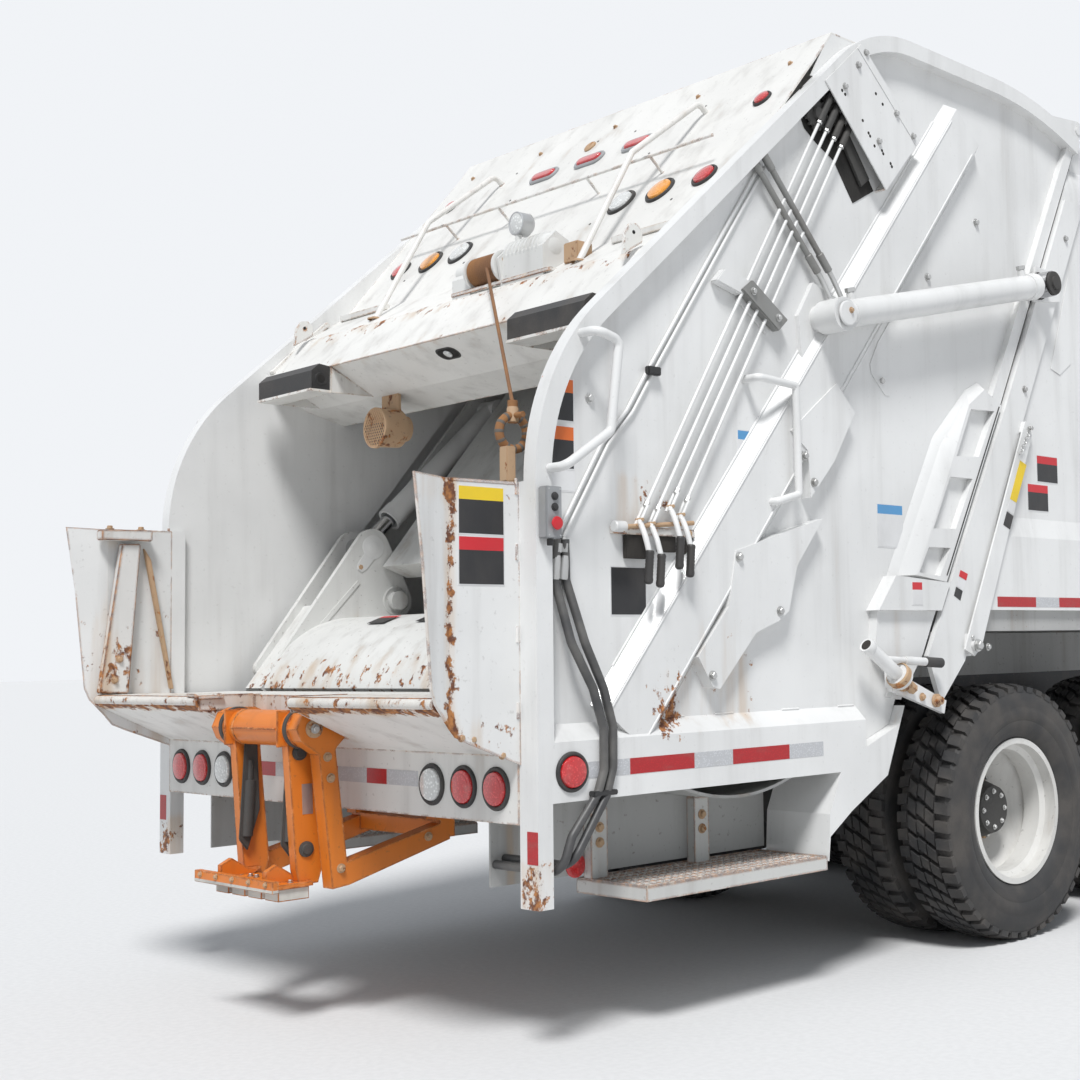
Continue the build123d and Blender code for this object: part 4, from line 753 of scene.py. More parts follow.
# Stage, light and camera
@dataclass
class Studio:
    """Camera of the photograph, pale floor, soft light."""

    eye: Place = (4.9737, -7.3558, 1.2131)
    yaw: float = 42.1527
    pitch: float = 3.9773
    roll: float = -1.2247
    lens: float = 52.0957
    shift_x: float = -0.2497
    floor_half: float = 120.0

    def place_camera(self) -> None:
        """Camera at the photograph's place, turned and shifted as it was."""
        yaw, pitch, roll = (math.radians(a) for a in (self.yaw, self.pitch, self.roll))
        ahead = Vector((-math.sin(yaw) * math.cos(pitch), math.cos(yaw) * math.cos(pitch), math.sin(pitch)))
        right = Vector((math.cos(yaw), math.sin(yaw), 0))
        up = right.cross(ahead)
        turned = right * math.cos(roll) + up * math.sin(roll)
        up = up * math.cos(roll) - right * math.sin(roll)
        data = bpy.data.cameras.new("photo_camera")
        data.sensor_width = 36.0
        data.lens = self.lens
        data.shift_x = self.shift_x
        data.clip_end = 500.0
        camera = bpy.data.objects.new("photo_camera", data)
        camera.matrix_world = Matrix((turned, up, -ahead)).transposed().to_4x4()
        camera.location = self.eye
        bpy.context.scene.collection.objects.link(camera)
        bpy.context.scene.camera = camera

    def place_light(self) -> None:
        """High soft key from behind and a little from the right, and a pale sky all round."""
        data = bpy.data.lights.new("key", "SUN")
        data.energy = 3.0
        data.angle = math.radians(14)
        key = bpy.data.objects.new("key", data)
        key.rotation_euler = Vector((-0.40, 0.42, -0.82)).to_track_quat("-Z", "Y").to_euler()
        bpy.context.scene.collection.objects.link(key)
        world = bpy.data.worlds.new("sky")
        bpy.context.scene.world = world
        world.use_nodes = True
        tree = Tree(world.node_tree)
        lit = tree.nodes["Background"]
        tree.put(lit.inputs[0], (0.86, 0.92, 1.0))
        tree.put(lit.inputs[1], 0.42)
        seen = tree.node("Background", {0: (0.88, 0.90, 0.93)})
        rays = tree.node("LightPath", {}).outputs
        either = tree.node("Math", {0: rays["Is Camera Ray"], 1: rays["Is Transmission Ray"]},
            operation="MAXIMUM")
        shown = tree.node("Math", {0: either.outputs[0], 1: rays["Is Glossy Ray"]}, operation="MAXIMUM")
        mixed = tree.node("MixShader", {0: shown.outputs[0], 1: lit.outputs[0], 2: seen.outputs[0]})
        tree.put(tree.nodes["World Output"].inputs["Surface"], mixed.outputs[0])

    def place_floor(self) -> None:
        """Plain pale floor under the tyres."""
        half = self.floor_half
        data = bpy.data.meshes.new("floor")
        data.from_pydata([(-half, -half, 0), (half, -half, 0), (half, half, 0), (-half, half, 0)], [],
            [(0, 1, 2, 3)])
        graph = Graph("floor_pale")
        speck = graph.step(graph.noise(40.0), 0.3, 0.7)
        graph.set("Base Color", graph.mix(speck, (0.70, 0.70, 0.70), (0.74, 0.74, 0.74)))
        graph.set("Roughness", 0.9)
        data.materials.append(graph.material)
        floor = bpy.data.objects.new("floor", data)
        bpy.context.scene.collection.objects.link(floor)

    def build(self) -> None:
        """Camera, light and floor."""
        self.place_camera()
        self.place_light()
        self.place_floor()
        bpy.context.scene.view_settings.view_transform = "Standard"


# The truck's solids
@dataclass
class Solids:
    """Finishes of the frame's own solids."""

    def build(self) -> None:
        """Dress each solid that stays."""
        solids = {
            Look.BODY: ("body_shell", "body_front", "body_fittings", "tailgate_sides",
                "grab_rails", "steel_pipes", "lift_barrels", "sweep_barrels", "tailgate_locks",
                "control_gear"),
            Look.HOOD: ("tail_hood",),
            Look.GUARD: ("hopper_guards",),
            Look.SILL: ("tail_sill",),
            Look.PACKER: ("sweep_blade", "packer_carriage", "ejector_panel"),
            Look.HOPPER: ("hopper_floor", "body_floor"),
            Look.CAB: ("cab_shell", "door_left", "door_right", "bumper"),
            Look.CHASSIS: ("chassis_frame", "suspension"),
            Look.CAST: ("axles", "engine", "knuckle_left", "knuckle_right"),
            Look.TANK: ("side_tanks",),
            Look.EXHAUST: ("exhaust_stack",),
            Look.GLASS: ("cab_glass", "door_glass_left", "door_glass_right"),
            Look.TRIM: ("cab_interior",),
            Look.PLASTIC: ("mirrors", "button_box"),
            Look.CHROME: ("lift_rods", "sweep_rods"),
            Look.ORANGE: ("lifter_base", "lifter_arms"),
            Look.WINCH: ("winch",),
            Look.ROPE: ("winch_cable",),
            Look.HOSE: ("hoses",),
            Look.RUSTY: ("work_light",),
            Look.RUBBER: ("rubber_stops",),
            Look.STEP: ("side_steps",),
            Look.CLEAR_LENS: ("front_lamps",),
            Look.RED_LENS: ("tail_lamps",),
        }
        for finish, nodes in solids.items():
            dress(finish, *nodes)
        for end in ("front", "forward", "aft"):
            for hand in ("left", "right"):
                many = "" if end == "front" else "s"
                dress(Look.WHEEL, f"rim{many}_{end}_{hand}")
                dress(Look.TYRE, f"tyre{many}_{end}_{hand}")


# Wheels
@dataclass
class Wheels:
    """Tyres with cut treads, wheel nuts and hubs."""

    radius: float = 0.525
    half: float = 0.140
    seat: float = 0.2866
    groove: float = 0.021
    pitches: int = 46
    rear: Flat = (2.499, 3.819)
    front: float = 7.750
    duals: Flat = (1.099, 0.765)
    front_x: float = 1.035
    disc_x: float = 0.930
    front_face: float = 1.097
    front_cap: float = 1.1762
    front_cone: tuple[Flat, ...] = ((1.0973, 0.124), (1.1030, 0.124), (1.1058, 0.1165), (1.1758, 0.0815),
        (1.1762, 0))
    rear_cone: tuple[Flat, ...] = ((0.9423, 0.134), (0.9500, 0.134), (0.9530, 0.1282), (0.9910, 0.1266),
        (1.0808, 0.0966), (1.0815, 0.0500), (1.0815, 0))
    nut_count: int = 10
    nut_start: float = 0.3
    nut_ring: float = 0.150

    def carcass(self, shape: Shape, centre: Vector) -> None:
        """Bead, bulged sidewalls with rings, and the tread's base.

        Args:
            shape: Piece that it goes into.
            centre: Centre of the tyre.
        """
        base = self.radius - self.groove
        half = self.half
        wall = [(0.096, self.seat), (0.096, 0.3005), (0.110, 0.3125), (0.124, 0.335), (0.1335, 0.366),
            (0.1325, 0.372), (0.1385, 0.385), (half, 0.400), (0.1395, 0.418), (0.1365, 0.424),
            (0.1365, 0.430), (0.1345, 0.455), (0.129, 0.478), (0.122, 0.494), (0.106, base)]
        outline = [(-x, r) for x, r in wall] + [(x, r) for x, r in reversed(wall)]
        shape.turned(centre, RIGHT, outline, Look.TYRE, 96, closed=True)

    def lug(self, shape: Shape, centre: Vector, x: Flat, turn: float, width: float, skew: float,
            fall: float = 0.0) -> None:
        """One tread block on the base, narrower at its top.

        Args:
            shape: Piece that it joins.
            centre: Centre of the tyre.
            x: Its near and far side.
            turn: Angle of its middle.
            width: Its angle.
            skew: Angle by which its far side is ahead.
            fall: Drop of its far side's top, for shoulders.
        """
        base = self.radius - self.groove - 0.003
        corners = []
        for side, lean, drop in ((x[0], 0.0, 0.0), (x[1], skew, fall)):
            for way in (-1, 1):
                for top in (0, 1):
                    slim = 0.90 if top else 1.0
                    radius = (self.radius - drop) if top else base - drop * 0.9
                    angle = turn + lean + way * width / 2 * slim
                    corners.append(centre + Vector((side, 0, 0)) + spoke(angle, radius))
        v = [shape.mesh.verts.new(c) for c in corners]
        faces = [shape.mesh.faces.new([v[i] for i in q]) for q in ((1, 3, 7, 5), (0, 1, 5, 4), (2, 6, 7, 3),
            (0, 2, 3, 1), (4, 5, 7, 6))]
        shape.tint(faces, Look.TYRE)

    def tread(self, shape: Shape, centre: Vector) -> None:
        """Two rows of shoulder lugs and three rows of staggered blocks between them.

        Args:
            shape: Piece that it goes into.
            centre: Centre of the tyre.
        """
        pitch = 2 * math.pi / self.pitches
        for index in range(self.pitches):
            turn = index * pitch
            for way in (-1, 1):
                self.lug(shape, centre, (way * 0.070, way * 0.126), turn + way * pitch * 0.22, pitch * 0.66,
                    pitch * 0.10, 0.012)
                self.lug(shape, centre, (way * 0.024, way * 0.063), turn + pitch * (0.5 + way * 0.12),
                    pitch * 0.74, way * pitch * 0.35)
            self.lug(shape, centre, (-0.017, 0.017), turn + pitch * 0.25, pitch * 0.70, pitch * 0.30)

    def nuts(self, shape: Shape, s: float, x: float, way: int) -> None:
        """Nuts and studs on the disc of one wheel.

        Args:
            shape: Piece that it goes into.
            s: Station of the axle.
            x: Distance of the disc from the middle.
            way: 1 on the right, -1 on the left.
        """
        out = Vector((way, 0, 0))
        for angle in turns(self.nut_count):
            centre = at(way * x, s, self.radius) + spoke(angle + self.nut_start, self.nut_ring)
            shape.turned(centre, out, [(0, 0.020), (0.004, 0.020), (0.004, 0.0165), (0.026, 0.0165),
                (0.028, 0.014), (0.028, 0)], Look.RUSTY, 6)
            shape.rod(centre + out * 0.02, centre + out * 0.046, 0.009, Look.STEEL, 8)

    def hub(self, name: str, front: bool, s: float, way: int) -> Shape:
        """Nuts, hub cap and cap bolts of one wheel.

        Args:
            name: Name of the piece.
            front: A front wheel, with the disc far out.
            s: Station of the axle.
            way: 1 on the right, -1 on the left.

        Returns:
            The piece, not yet finished.
        """
        shape = Shape(name)
        self.nuts(shape, s, self.front_face if front else self.disc_x + 0.012, way)
        out = Vector((way, 0, 0))
        cone = self.front_cone if front else self.rear_cone
        shape.turned(at(0, s, self.radius), out, list(cone), Look.CAST, 40)
        cap, ring = (self.front_cap, 0.058) if front else (self.disc_x + 0.1515, 0.074)
        for angle in turns(8):
            spot = at(way * cap, s, self.radius) + spoke(angle, ring)
            shape.bolt(spot, out, 0.016, Look.STEEL)
        return shape

    def build(self) -> None:
        """Tyres, nuts and hub caps of all ten wheels."""
        for end, s in (("front", self.front), ("forward", self.rear[1]), ("aft", self.rear[0])):
            front = end == "front"
            many = "" if front else "s"
            for hand, way in (("left", -1), ("right", 1)):
                body = f"wheel{many}_{end}_{hand}"
                tyre = Shape(f"tyre{many}_cut_{end}_{hand}")
                for x in (self.front_x,) if front else self.duals:
                    centre = at(way * x, s, self.radius)
                    self.carcass(tyre, centre)
                    self.tread(tyre, centre)
                stands_for(tyre.done(body, 30.0, "tyre"), f"tyre{many}_{end}_{hand}")
                self.hub(f"hub_{end}_{hand}", front, s, way).done(body, 30.0, "wheel_paint")


# Lamps and tape
@dataclass
class TailLamps:
    """Round lamps on the panel and board, long lamps on the board, side markers."""

    panel_z: float = 0.806
    board_low: Flat = (0.800, 2.720)
    board_high: Flat = (1.420, 3.480)

    @property
    def board_run(self) -> Vector:
        """Direction up the sloping board."""
        low, high = self.board_low, self.board_high
        return Vector((0, high[0] - low[0], high[1] - low[1])).normalized()

    @property
    def board_out(self) -> Vector:
        """Direction straight off the board."""
        run = self.board_run
        return Vector((0, -run.z, run.y))

    def board_spot(self, x: float, up: float) -> Vector:
        """Place on the board from x and distance up it."""
        return at(x, *self.board_low) + self.board_run * up

    def round_lamp(self, shape: Shape, seat: Vector, axis: Vector, lens: Look, scale: float = 1.0) -> None:
        """Rubber grommet with a domed lens in it.

        Args:
            shape: Piece that it goes into.
            seat: Middle of its seat.
            axis: Direction that it faces.
            lens: Finish of the lens.
            scale: Size against the large lamps.
        """
        k = scale
        shape.turned(seat, axis, [(0, 0.0675 * k), (0.004, 0.0675 * k), (0.009, 0.064 * k),
            (0.010, 0.059 * k), (0.008, 0.0545 * k), (0.004, 0.052 * k)], Look.RUBBER, 40)
        shape.turned(seat, axis, [(0.003, 0.0530 * k), (0.011, 0.0520 * k), (0.015, 0.0495 * k),
            (0.0165, 0.040 * k), (0.0175, 0.0395 * k), (0.0185, 0.030 * k), (0.0205, 0.015 * k),
            (0.021, 0)], lens, 40)

    def long_lamp(self, shape: Shape, x: float) -> None:
        """Long lamp: grey oval grommet and a ribbed red lens.

        Args:
            shape: Piece that it goes into.
            x: Its place across the board.
        """
        out = self.board_out
        up = out.cross(RIGHT) * -1
        middle = self.board_spot(x, 0.716)
        rings = []
        for off, grow in ((0.0, 0.0), (0.007, 0.0), (0.011, -0.006), (0.010, -0.014), (0.006, -0.016),
                (0.012, -0.017), (0.017, -0.022), (0.018, -0.034)):
            ring = []
            radius = 0.040 + grow
            for angle in turns(40):
                side = 0.050 if math.cos(angle) >= 0 else -0.050
                corner = middle + RIGHT * (side + radius * math.cos(angle)) + up * radius * math.sin(angle)
                ring.append(shape.mesh.verts.new(corner + out * off))
            rings.append(ring)
        for index, (a, b) in enumerate(zip(rings, rings[1:])):
            shape.tint(shape.walls(a, b), Look.BUTTON_CASE if index < 4 else Look.RED_LENS)
        shape.tint([shape.mesh.faces.new(rings[-1])], Look.RED_LENS)

    def build(self) -> None:
        """All lamps of the tail."""
        lamps = Shape("tail_lamp_set")
        for way in (-1, 1):
            for x, lens in ((0.680, Look.CLEAR_LENS), (0.852, Look.RED_LENS), (1.020, Look.RED_LENS)):
                self.round_lamp(lamps, at(way * x, 0, self.panel_z), REAR, lens)
            for x, lens in ((0.521, Look.CLEAR_LENS), (0.740, Look.AMBER_LENS)):
                self.round_lamp(lamps, self.board_spot(way * x, 0.269), self.board_out, lens)
            self.round_lamp(lamps, at(way * HALF_WIDTH, 0.133, 0.855), RIGHT * way, Look.RED_LENS, 0.92)
            self.round_lamp(lamps, self.board_spot(way * 0.975, 0.275), self.board_out, Look.RED_LENS, 0.85)
            self.round_lamp(lamps, self.board_spot(way * 1.0, 0.727), self.board_out, Look.RED_LENS, 0.62)
        for x in (-0.303, 0.0, 0.303):
            self.long_lamp(lamps, x)
        stands_for(lamps.done("tailgate", 40.0, "rear_lens"), "tail_lamps")


@dataclass
class TapeStrips:
    """Red and silver reflecting tape on the side beams, lamp panel and body."""

    proud: float = 0.0011
    red_run: float = 0.279
    pitch: float = 0.457
    body_end: float = 6.85

    def side_run(self, shape: Shape, way: int, spans: list[tuple[float, float, Look]], z: Flat,
            face: float) -> None:
        """Strip of patches along one side of the truck.

        Args:
            shape: Piece that it goes into.
            way: 1 on the right, -1 on the left.
            spans: First and last station and finish of each patch.
            z: Lower and upper edge.
            face: Distance of the face from the middle.
        """
        for start, end, finish in spans:
            x = between(way * face, way * (face + self.proud))
            shape.box(x, (start, end), z, finish)

    def build(self) -> None:
        """Strips of the tailgate and of the body."""
        red, silver = Look.RED_TAPE, Look.SILVER_TAPE
        tail = Shape("tail_tape")
        spans = [(0.188, 0.366, silver), (0.366, 0.645, red), (0.645, 0.823, silver), (0.823, 1.102, red),
            (1.102, 1.280, silver)]
        for way in (-1, 1):
            self.side_run(tail, way, spans, (0.831, 0.881), HALF_WIDTH)
        edge = [(-0.60, -0.42, silver), (-0.42, -0.30, red), (0.30, 0.42, red), (0.42, 0.60, silver)]
        for x0, x1, finish in [*edge, (-0.30, -0.12, silver), (-0.12, 0.12, red), (0.12, 0.30, silver)]:
            tail.box((x0, x1), (-self.proud, 0), (0.795, 0.845), finish)
        for way in (-1, 1):
            x = between(way * 1.163, way * 1.214)
            tail.box(x, (0.005 - self.proud, 0.005), (0.588, 0.685), red)
        tail.done("tailgate", slot="body_paint")
        body = Shape("body_tape")
        spans = [(2.377, 2.657, red), (2.657, 2.835, silver)]
        s = 2.835
        while s < self.body_end:
            spans += [(s, s + self.red_run, red), (s + self.red_run, s + self.pitch, silver)]
            s += self.pitch
        for way in (-1, 1):
            self.side_run(body, way, spans, (1.369, 1.411), HALF_WIDTH)
        body.done("truck", slot="body_paint")


@dataclass
class BlankPlates:
    """Blank colour plates where the truck carries signs."""

    proud: float = 0.0012
    rim: float = 0.004

    def patch(self, shape: Shape, corner: Vector, right: Vector, up: Vector, out: Vector,
            bands: list[tuple[float, Look]]) -> None:
        """Plate of stacked colour bands with a thin pale border.

        Args:
            shape: Piece that it joins.
            corner: Lower left corner.
            right: Its width as a vector.
            up: Its height as a vector.
            out: Direction off the surface.
            bands: Share of the height and finish of each band, from the bottom.
        """
        step = out.normalized() * self.proud
        side, over = right.normalized() * self.rim, up.normalized() * self.rim
        outline = [corner - side - over, corner + right + side - over, corner + right + side + up + over,
            corner - side + up + over]
        shape.prism(outline, step, Look.PLATE_WHITE)
        filled = 0.0
        for share, finish in bands:
            low = corner + up * filled + step
            shape.prism([low, low + right, low + right + up * share, low + up * share], step * 0.5, finish)
            filled += share

    def side_patch(self, shape: Shape, x: float, s: Flat, z: Flat, bands: list[tuple[float, Look]]) -> None:
        """Upright plate on a right-hand face."""
        self.patch(shape, at(x, s[0], z[0]), Vector((0, s[1] - s[0], 0)), Vector((0, 0, z[1] - z[0])),
            RIGHT, bands)

    def build(self) -> None:
        """Plates of the tailgate, guards, blade and body."""
        black, red, orange = Look.PLATE_BLACK, Look.PLATE_RED, Look.PLATE_ORANGE
        white, blue, yellow = Look.PLATE_WHITE, Look.PLATE_BLUE, Look.PLATE_YELLOW
        tail = Shape("blank_plates")
        guard = GUARD_X + 0.008
        for z0, z1, head in ((1.575, 1.715, yellow), (1.425, 1.565, red)):
            self.side_patch(tail, guard, (-0.215, -0.055), (z0, z1), [(0.72, black), (0.28, head)])
        for z0, z1 in ((1.94, 2.07), (1.79, 1.92)):
            self.side_patch(tail, WALL_X, (0.075, 0.195), (z0, z1), [(0.68, black), (0.32, orange)])
        self.side_patch(tail, WALL_X, (0.075, 0.195), (1.72, 1.78), [(1.0, white)])
        self.side_patch(tail, WALL_X, (0.927, 1.065), (1.881, 1.978), [(0.68, white), (0.32, blue)])
        self.side_patch(tail, WALL_X, (1.678, 1.828), (1.598, 1.760), [(0.78, white), (0.22, blue)])
        self.side_patch(tail, WALL_X, (0.342, 0.488), (1.335, 1.486), [(1.0, black)])
        self.side_patch(tail, HALF_WIDTH + 0.012, (1.80, 1.86), (1.375, 1.46), [(0.66, white), (0.34, red)])
        tail.done("tailgate", slot="body_paint")
        body = Shape("body_plates")
        self.side_patch(body, 1.195, (2.730, 2.886), (1.914, 2.026), [(0.7, black), (0.3, red)])
        self.side_patch(body, 1.195, (2.654, 2.806), (1.786, 1.898), [(0.7, black), (0.3, red)])
        body.done("truck", slot="body_paint")


# The operator's side
@dataclass
class OperatorControls:
    """Valve cover and mechanism, linkage rods in their guide, levers and button box."""

    cover: tuple[Flat, ...] = ((1.368, 3.326), (1.582, 3.525), (1.930, 3.225), (1.712, 2.978))
    strip: tuple[Flat, ...] = ((1.556, 3.501), (1.582, 3.525), (1.930, 3.225), (1.906, 3.197))
    opening: tuple[Flat, ...] = ((1.264, 3.221), (1.290, 3.292), (1.350, 3.330), (1.430, 3.352),
        (1.700, 2.985), (1.574, 2.912), (1.533, 2.967), (1.468, 3.055), (1.370, 3.101), (1.306, 3.142))
    holes: tuple[Flat, ...] = ((1.461, 3.311), (1.478, 3.300), (1.661, 3.349), (1.701, 3.317),
        (1.578, 3.223), (1.611, 3.182), (1.620, 3.172), (1.645, 3.139), (1.697, 3.120), (1.690, 3.131),
        (1.741, 3.091), (1.748, 3.080))
    bolts: tuple[Flat, ...] = ((1.605, 3.495), (1.559, 3.434), (1.784, 3.300), (1.886, 3.232),
        (1.672, 3.162), (1.478, 3.330))
    foot_s: tuple[float, ...] = (0.440, 0.490, 0.575, 0.622)
    foot_z: tuple[float, ...] = (1.640, 1.630, 1.690, 1.665)
    top: Flat = (1.385, 3.215)
    top_step: Flat = (0.040, -0.022)
    rod_x: float = WALL_X + 0.030
    grip_x: float = WALL_X + 0.084

    def rod_top(self, index: int) -> Vector:
        """Upper end of one linkage rod."""
        return at(self.rod_x, self.top[0] + self.top_step[0] * index,
            self.top[1] + self.top_step[1] * index)

    def valve_cover(self, shape: Shape) -> None:
        """Sheet cover with a bolted strip, bolts, drilled holes painted as discs of shade, and its side
        return.

        Args:
            shape: Piece that it goes into.
        """
        face = HALF_WIDTH + 0.0063
        shape.side_slab(list(self.cover), (HALF_WIDTH + 0.0005, face), Look.BODY, 0.001)
        shape.side_slab(list(self.strip), (face, face + 0.0025), Look.BODY, 0.0008)
        shape.side_slab([(1.714, 2.981), (1.930, 3.223), (1.925, 3.228), (1.709, 2.986)],
            (WALL_X + 0.001, HALF_WIDTH), Look.SILL)
        for s, z in self.bolts:
            shape.bolt(at(face, s, z), RIGHT, 0.021, Look.STEEL)
        for s, z in self.holes:
            shape.turned(at(face, s, z), RIGHT, [(0, 0.0065), (0.0006, 0.006), (0.0006, 0)], Look.PAINTED_SHADE, 14)

    def mechanism(self, shape: Shape) -> None:
        """Opening behind the cover, a sheet of painted shade, with a chain wheel, spools and link plates.

        Args:
            shape: Piece that it goes into.
        """
        shape.side_slab(list(self.opening), (WALL_X + 0.0008, WALL_X + 0.0025), Look.PAINTED_SHADE)
        wheel = at(WALL_X + 0.010, 1.357, 3.206)
        shape.turned(wheel, RIGHT, [(0, 0), (0, 0.052), (0.006, 0.056), (0.012, 0.052), (0.013, 0.026),
            (0.024, 0.022), (0.026, 0)], Look.CAST, 28)
        for angle in turns(14):
            spot = wheel + RIGHT * 0.006 + spoke(angle, 0.058)
            shape.rod(spot - RIGHT * 0.006, spot + RIGHT * 0.008, 0.007, Look.CAST, 8)
        for index in range(4):
            top = self.rod_top(index)
            way = (top - at(self.rod_x, self.foot_s[index], self.foot_z[index])).normalized()
            shape.rod(top - way * 0.05, top + way * 0.10, 0.014, Look.CAST, 12)
            shape.turned(top - way * 0.06, way, [(0, 0), (0, 0.012), (0.016, 0.012), (0.016, 0)],
                Look.STEEL, 6)
        shape.prism([at(WALL_X + 0.006, s, z) for s, z in ((1.40, 3.28), (1.44, 3.31), (1.66, 3.02),
            (1.61, 2.98))], Vector((0.012, 0, 0)), Look.CAST, 0.002)

    def guide(self, shape: Shape) -> None:
        """Bored guide block on its box-section foot.

        Args:
            shape: Piece that it goes into.
        """
        shape.side_slab([(0.800, 2.482), (0.846, 2.532), (0.985, 2.505), (0.925, 2.452)],
            (WALL_X + 0.001, WALL_X + 0.036), Look.BODY, 0.004)
        shape.side_slab([(0.918, 2.467), (0.972, 2.509), (1.150, 2.392), (1.100, 2.345)],
            (WALL_X + 0.010, WALL_X + 0.046), Look.CAST_GREY, 0.003)
        shape.side_slab([(0.925, 2.440), (0.960, 2.470), (1.110, 2.372), (1.072, 2.335)],
            (WALL_X + 0.001, WALL_X + 0.010), Look.BODY, 0.001)
        for s, z in ((0.972, 2.468), (1.098, 2.392)):
            shape.bolt(at(WALL_X + 0.046, s, z), RIGHT, 0.020, Look.STEEL)

    def lever(self, shape: Shape, index: int) -> None:
        """One linkage rod with its fork, the bent lever under it and a ribbed grip.

        Args:
            shape: Piece that it goes into.
            index: Number of the lever, from the rear.
        """
        s, z = self.foot_s[index], self.foot_z[index]
        foot = at(self.rod_x, s, z)
        top = self.rod_top(index)
        way = (top - foot).normalized()
        shape.rod(foot + way * 0.05, top, 0.0062, Look.BODY, 12)
        shape.turned(foot + way * 0.052, way, [(0, 0), (0, 0.010), (0.018, 0.010), (0.018, 0)], Look.STEEL,
            6)
        for off in (-0.010, 0.010):
            side = Vector((off, 0, 0))
            shape.rod(foot + side - way * 0.02, foot + side + way * 0.055, 0.0055, Look.BODY, 10)
        shape.rod(foot - Vector((0.017, 0, 0)), foot + Vector((0.018, 0, 0)), 0.006, Look.RUSTY, 10)
        knee = at(self.rod_x + 0.036, s - 0.010, z - 0.050)
        tip = at(self.grip_x, s - 0.006, z - 0.115)
        end = at(self.grip_x + 0.002, s - 0.016, z - 0.215)
        shape.bent_bar([foot - Vector((0, 0, 0.004)), knee, tip], 0.0095, Look.BODY, 0.02, 12)
        run = (end - tip).normalized()
        outline = [(0, 0), (0, 0.0125), (0.006, 0.0148)]
        for ring in range(7):
            outline += [(0.012 + ring * 0.011, 0.0142), (0.016 + ring * 0.011, 0.0130)]
        outline += [(0.094, 0.0150), (0.103, 0.0135), (0.108, 0.008), (0.109, 0)]
        shape.turned(tip - run * 0.012, run, outline, Look.PLASTIC, 16)

    def bracket(self, shape: Shape) -> None:
        """Lever bracket: bar with bolts, cheeks between the levers painted near-black as shade, pivot
        shaft.

        Args:
            shape: Piece that it goes into.
        """
        wall = WALL_X + 0.0008
        shape.box((wall, wall + 0.024), (0.338, 0.690), (1.592, 1.618), Look.SILL, 0.002)
        for s0, s1, z0, z1 in ((0.392, 0.482, 1.515, 1.592), (0.535, 0.612, 1.540, 1.592),
                (0.632, 0.690, 1.535, 1.592)):
            shape.box((wall, wall + 0.016), (s0, s1), (z0, z1), Look.PAINTED_SHADE, 0.002)
        shape.rod(at(wall + 0.028, 0.345, 1.612), at(wall + 0.028, 0.680, 1.640), 0.008, Look.RUSTY, 12)
        shape.turned(at(wall + 0.022, 0.336, 1.615), AHEAD, [(0, 0), (0, 0.016), (0.004, 0.019),
            (0.045, 0.019), (0.048, 0.012), (0.048, 0)], Look.BODY, 20)
        for s in (0.372, 0.508, 0.664):
            shape.bolt(at(wall + 0.024, s, 1.605), RIGHT, 0.016, Look.RUSTY)

    def button_case(self) -> None:
        """Button box with a lid, screws, a red mushroom button and two black ones."""
        box = Shape("button_case")
        face = HALF_WIDTH + 0.0455
        box.box((HALF_WIDTH + 0.0008, face - 0.004), (0.0125, 0.0695), (1.561, 1.719), Look.BUTTON_CASE,
            0.004)
        box.box((face - 0.004, face), (0.0135, 0.0685), (1.562, 1.718), Look.BUTTON_CASE, 0.0018)
        for s in (0.020, 0.062):
            for z in (1.570, 1.710):
                box.turned(at(face, s, z), RIGHT, [(0, 0.003), (0.001, 0.0028), (0.001, 0)], Look.STEEL, 12)
        for z in (1.655, 1.688):
            box.turned(at(face, 0.041, z), RIGHT, [(0, 0.0125), (0.003, 0.0125), (0.004, 0.010),
                (0.008, 0.009), (0.009, 0.006), (0.009, 0)], Look.RUBBER, 24)
        box.turned(at(face, 0.041, 1.606), RIGHT, [(0, 0.012), (0.004, 0.012), (0.004, 0.008),
            (0.009, 0.008), (0.009, 0.0185), (0.012, 0.0205), (0.016, 0.0185), (0.0175, 0.010), (0.018, 0)],
            Look.PLATE_RED, 32)
        box.rod(at(HALF_WIDTH + 0.022, 0.041, 1.562), at(HALF_WIDTH + 0.022, 0.041, 1.540), 0.010,
            Look.PLASTIC, 14)
        stands_for(box.done("tailgate", slot="button_case"), "button_box")

    def build(self) -> None:
        """Controls of the operator's side."""
        gear = Shape("control_set")
        self.valve_cover(gear)
        self.mechanism(gear)
        self.guide(gear)
        self.bracket(gear)
        for index in range(len(self.foot_s)):
            self.lever(gear, index)
        stands_for(gear.done("tailgate", slot="body_paint"), "control_gear")
        self.button_case()


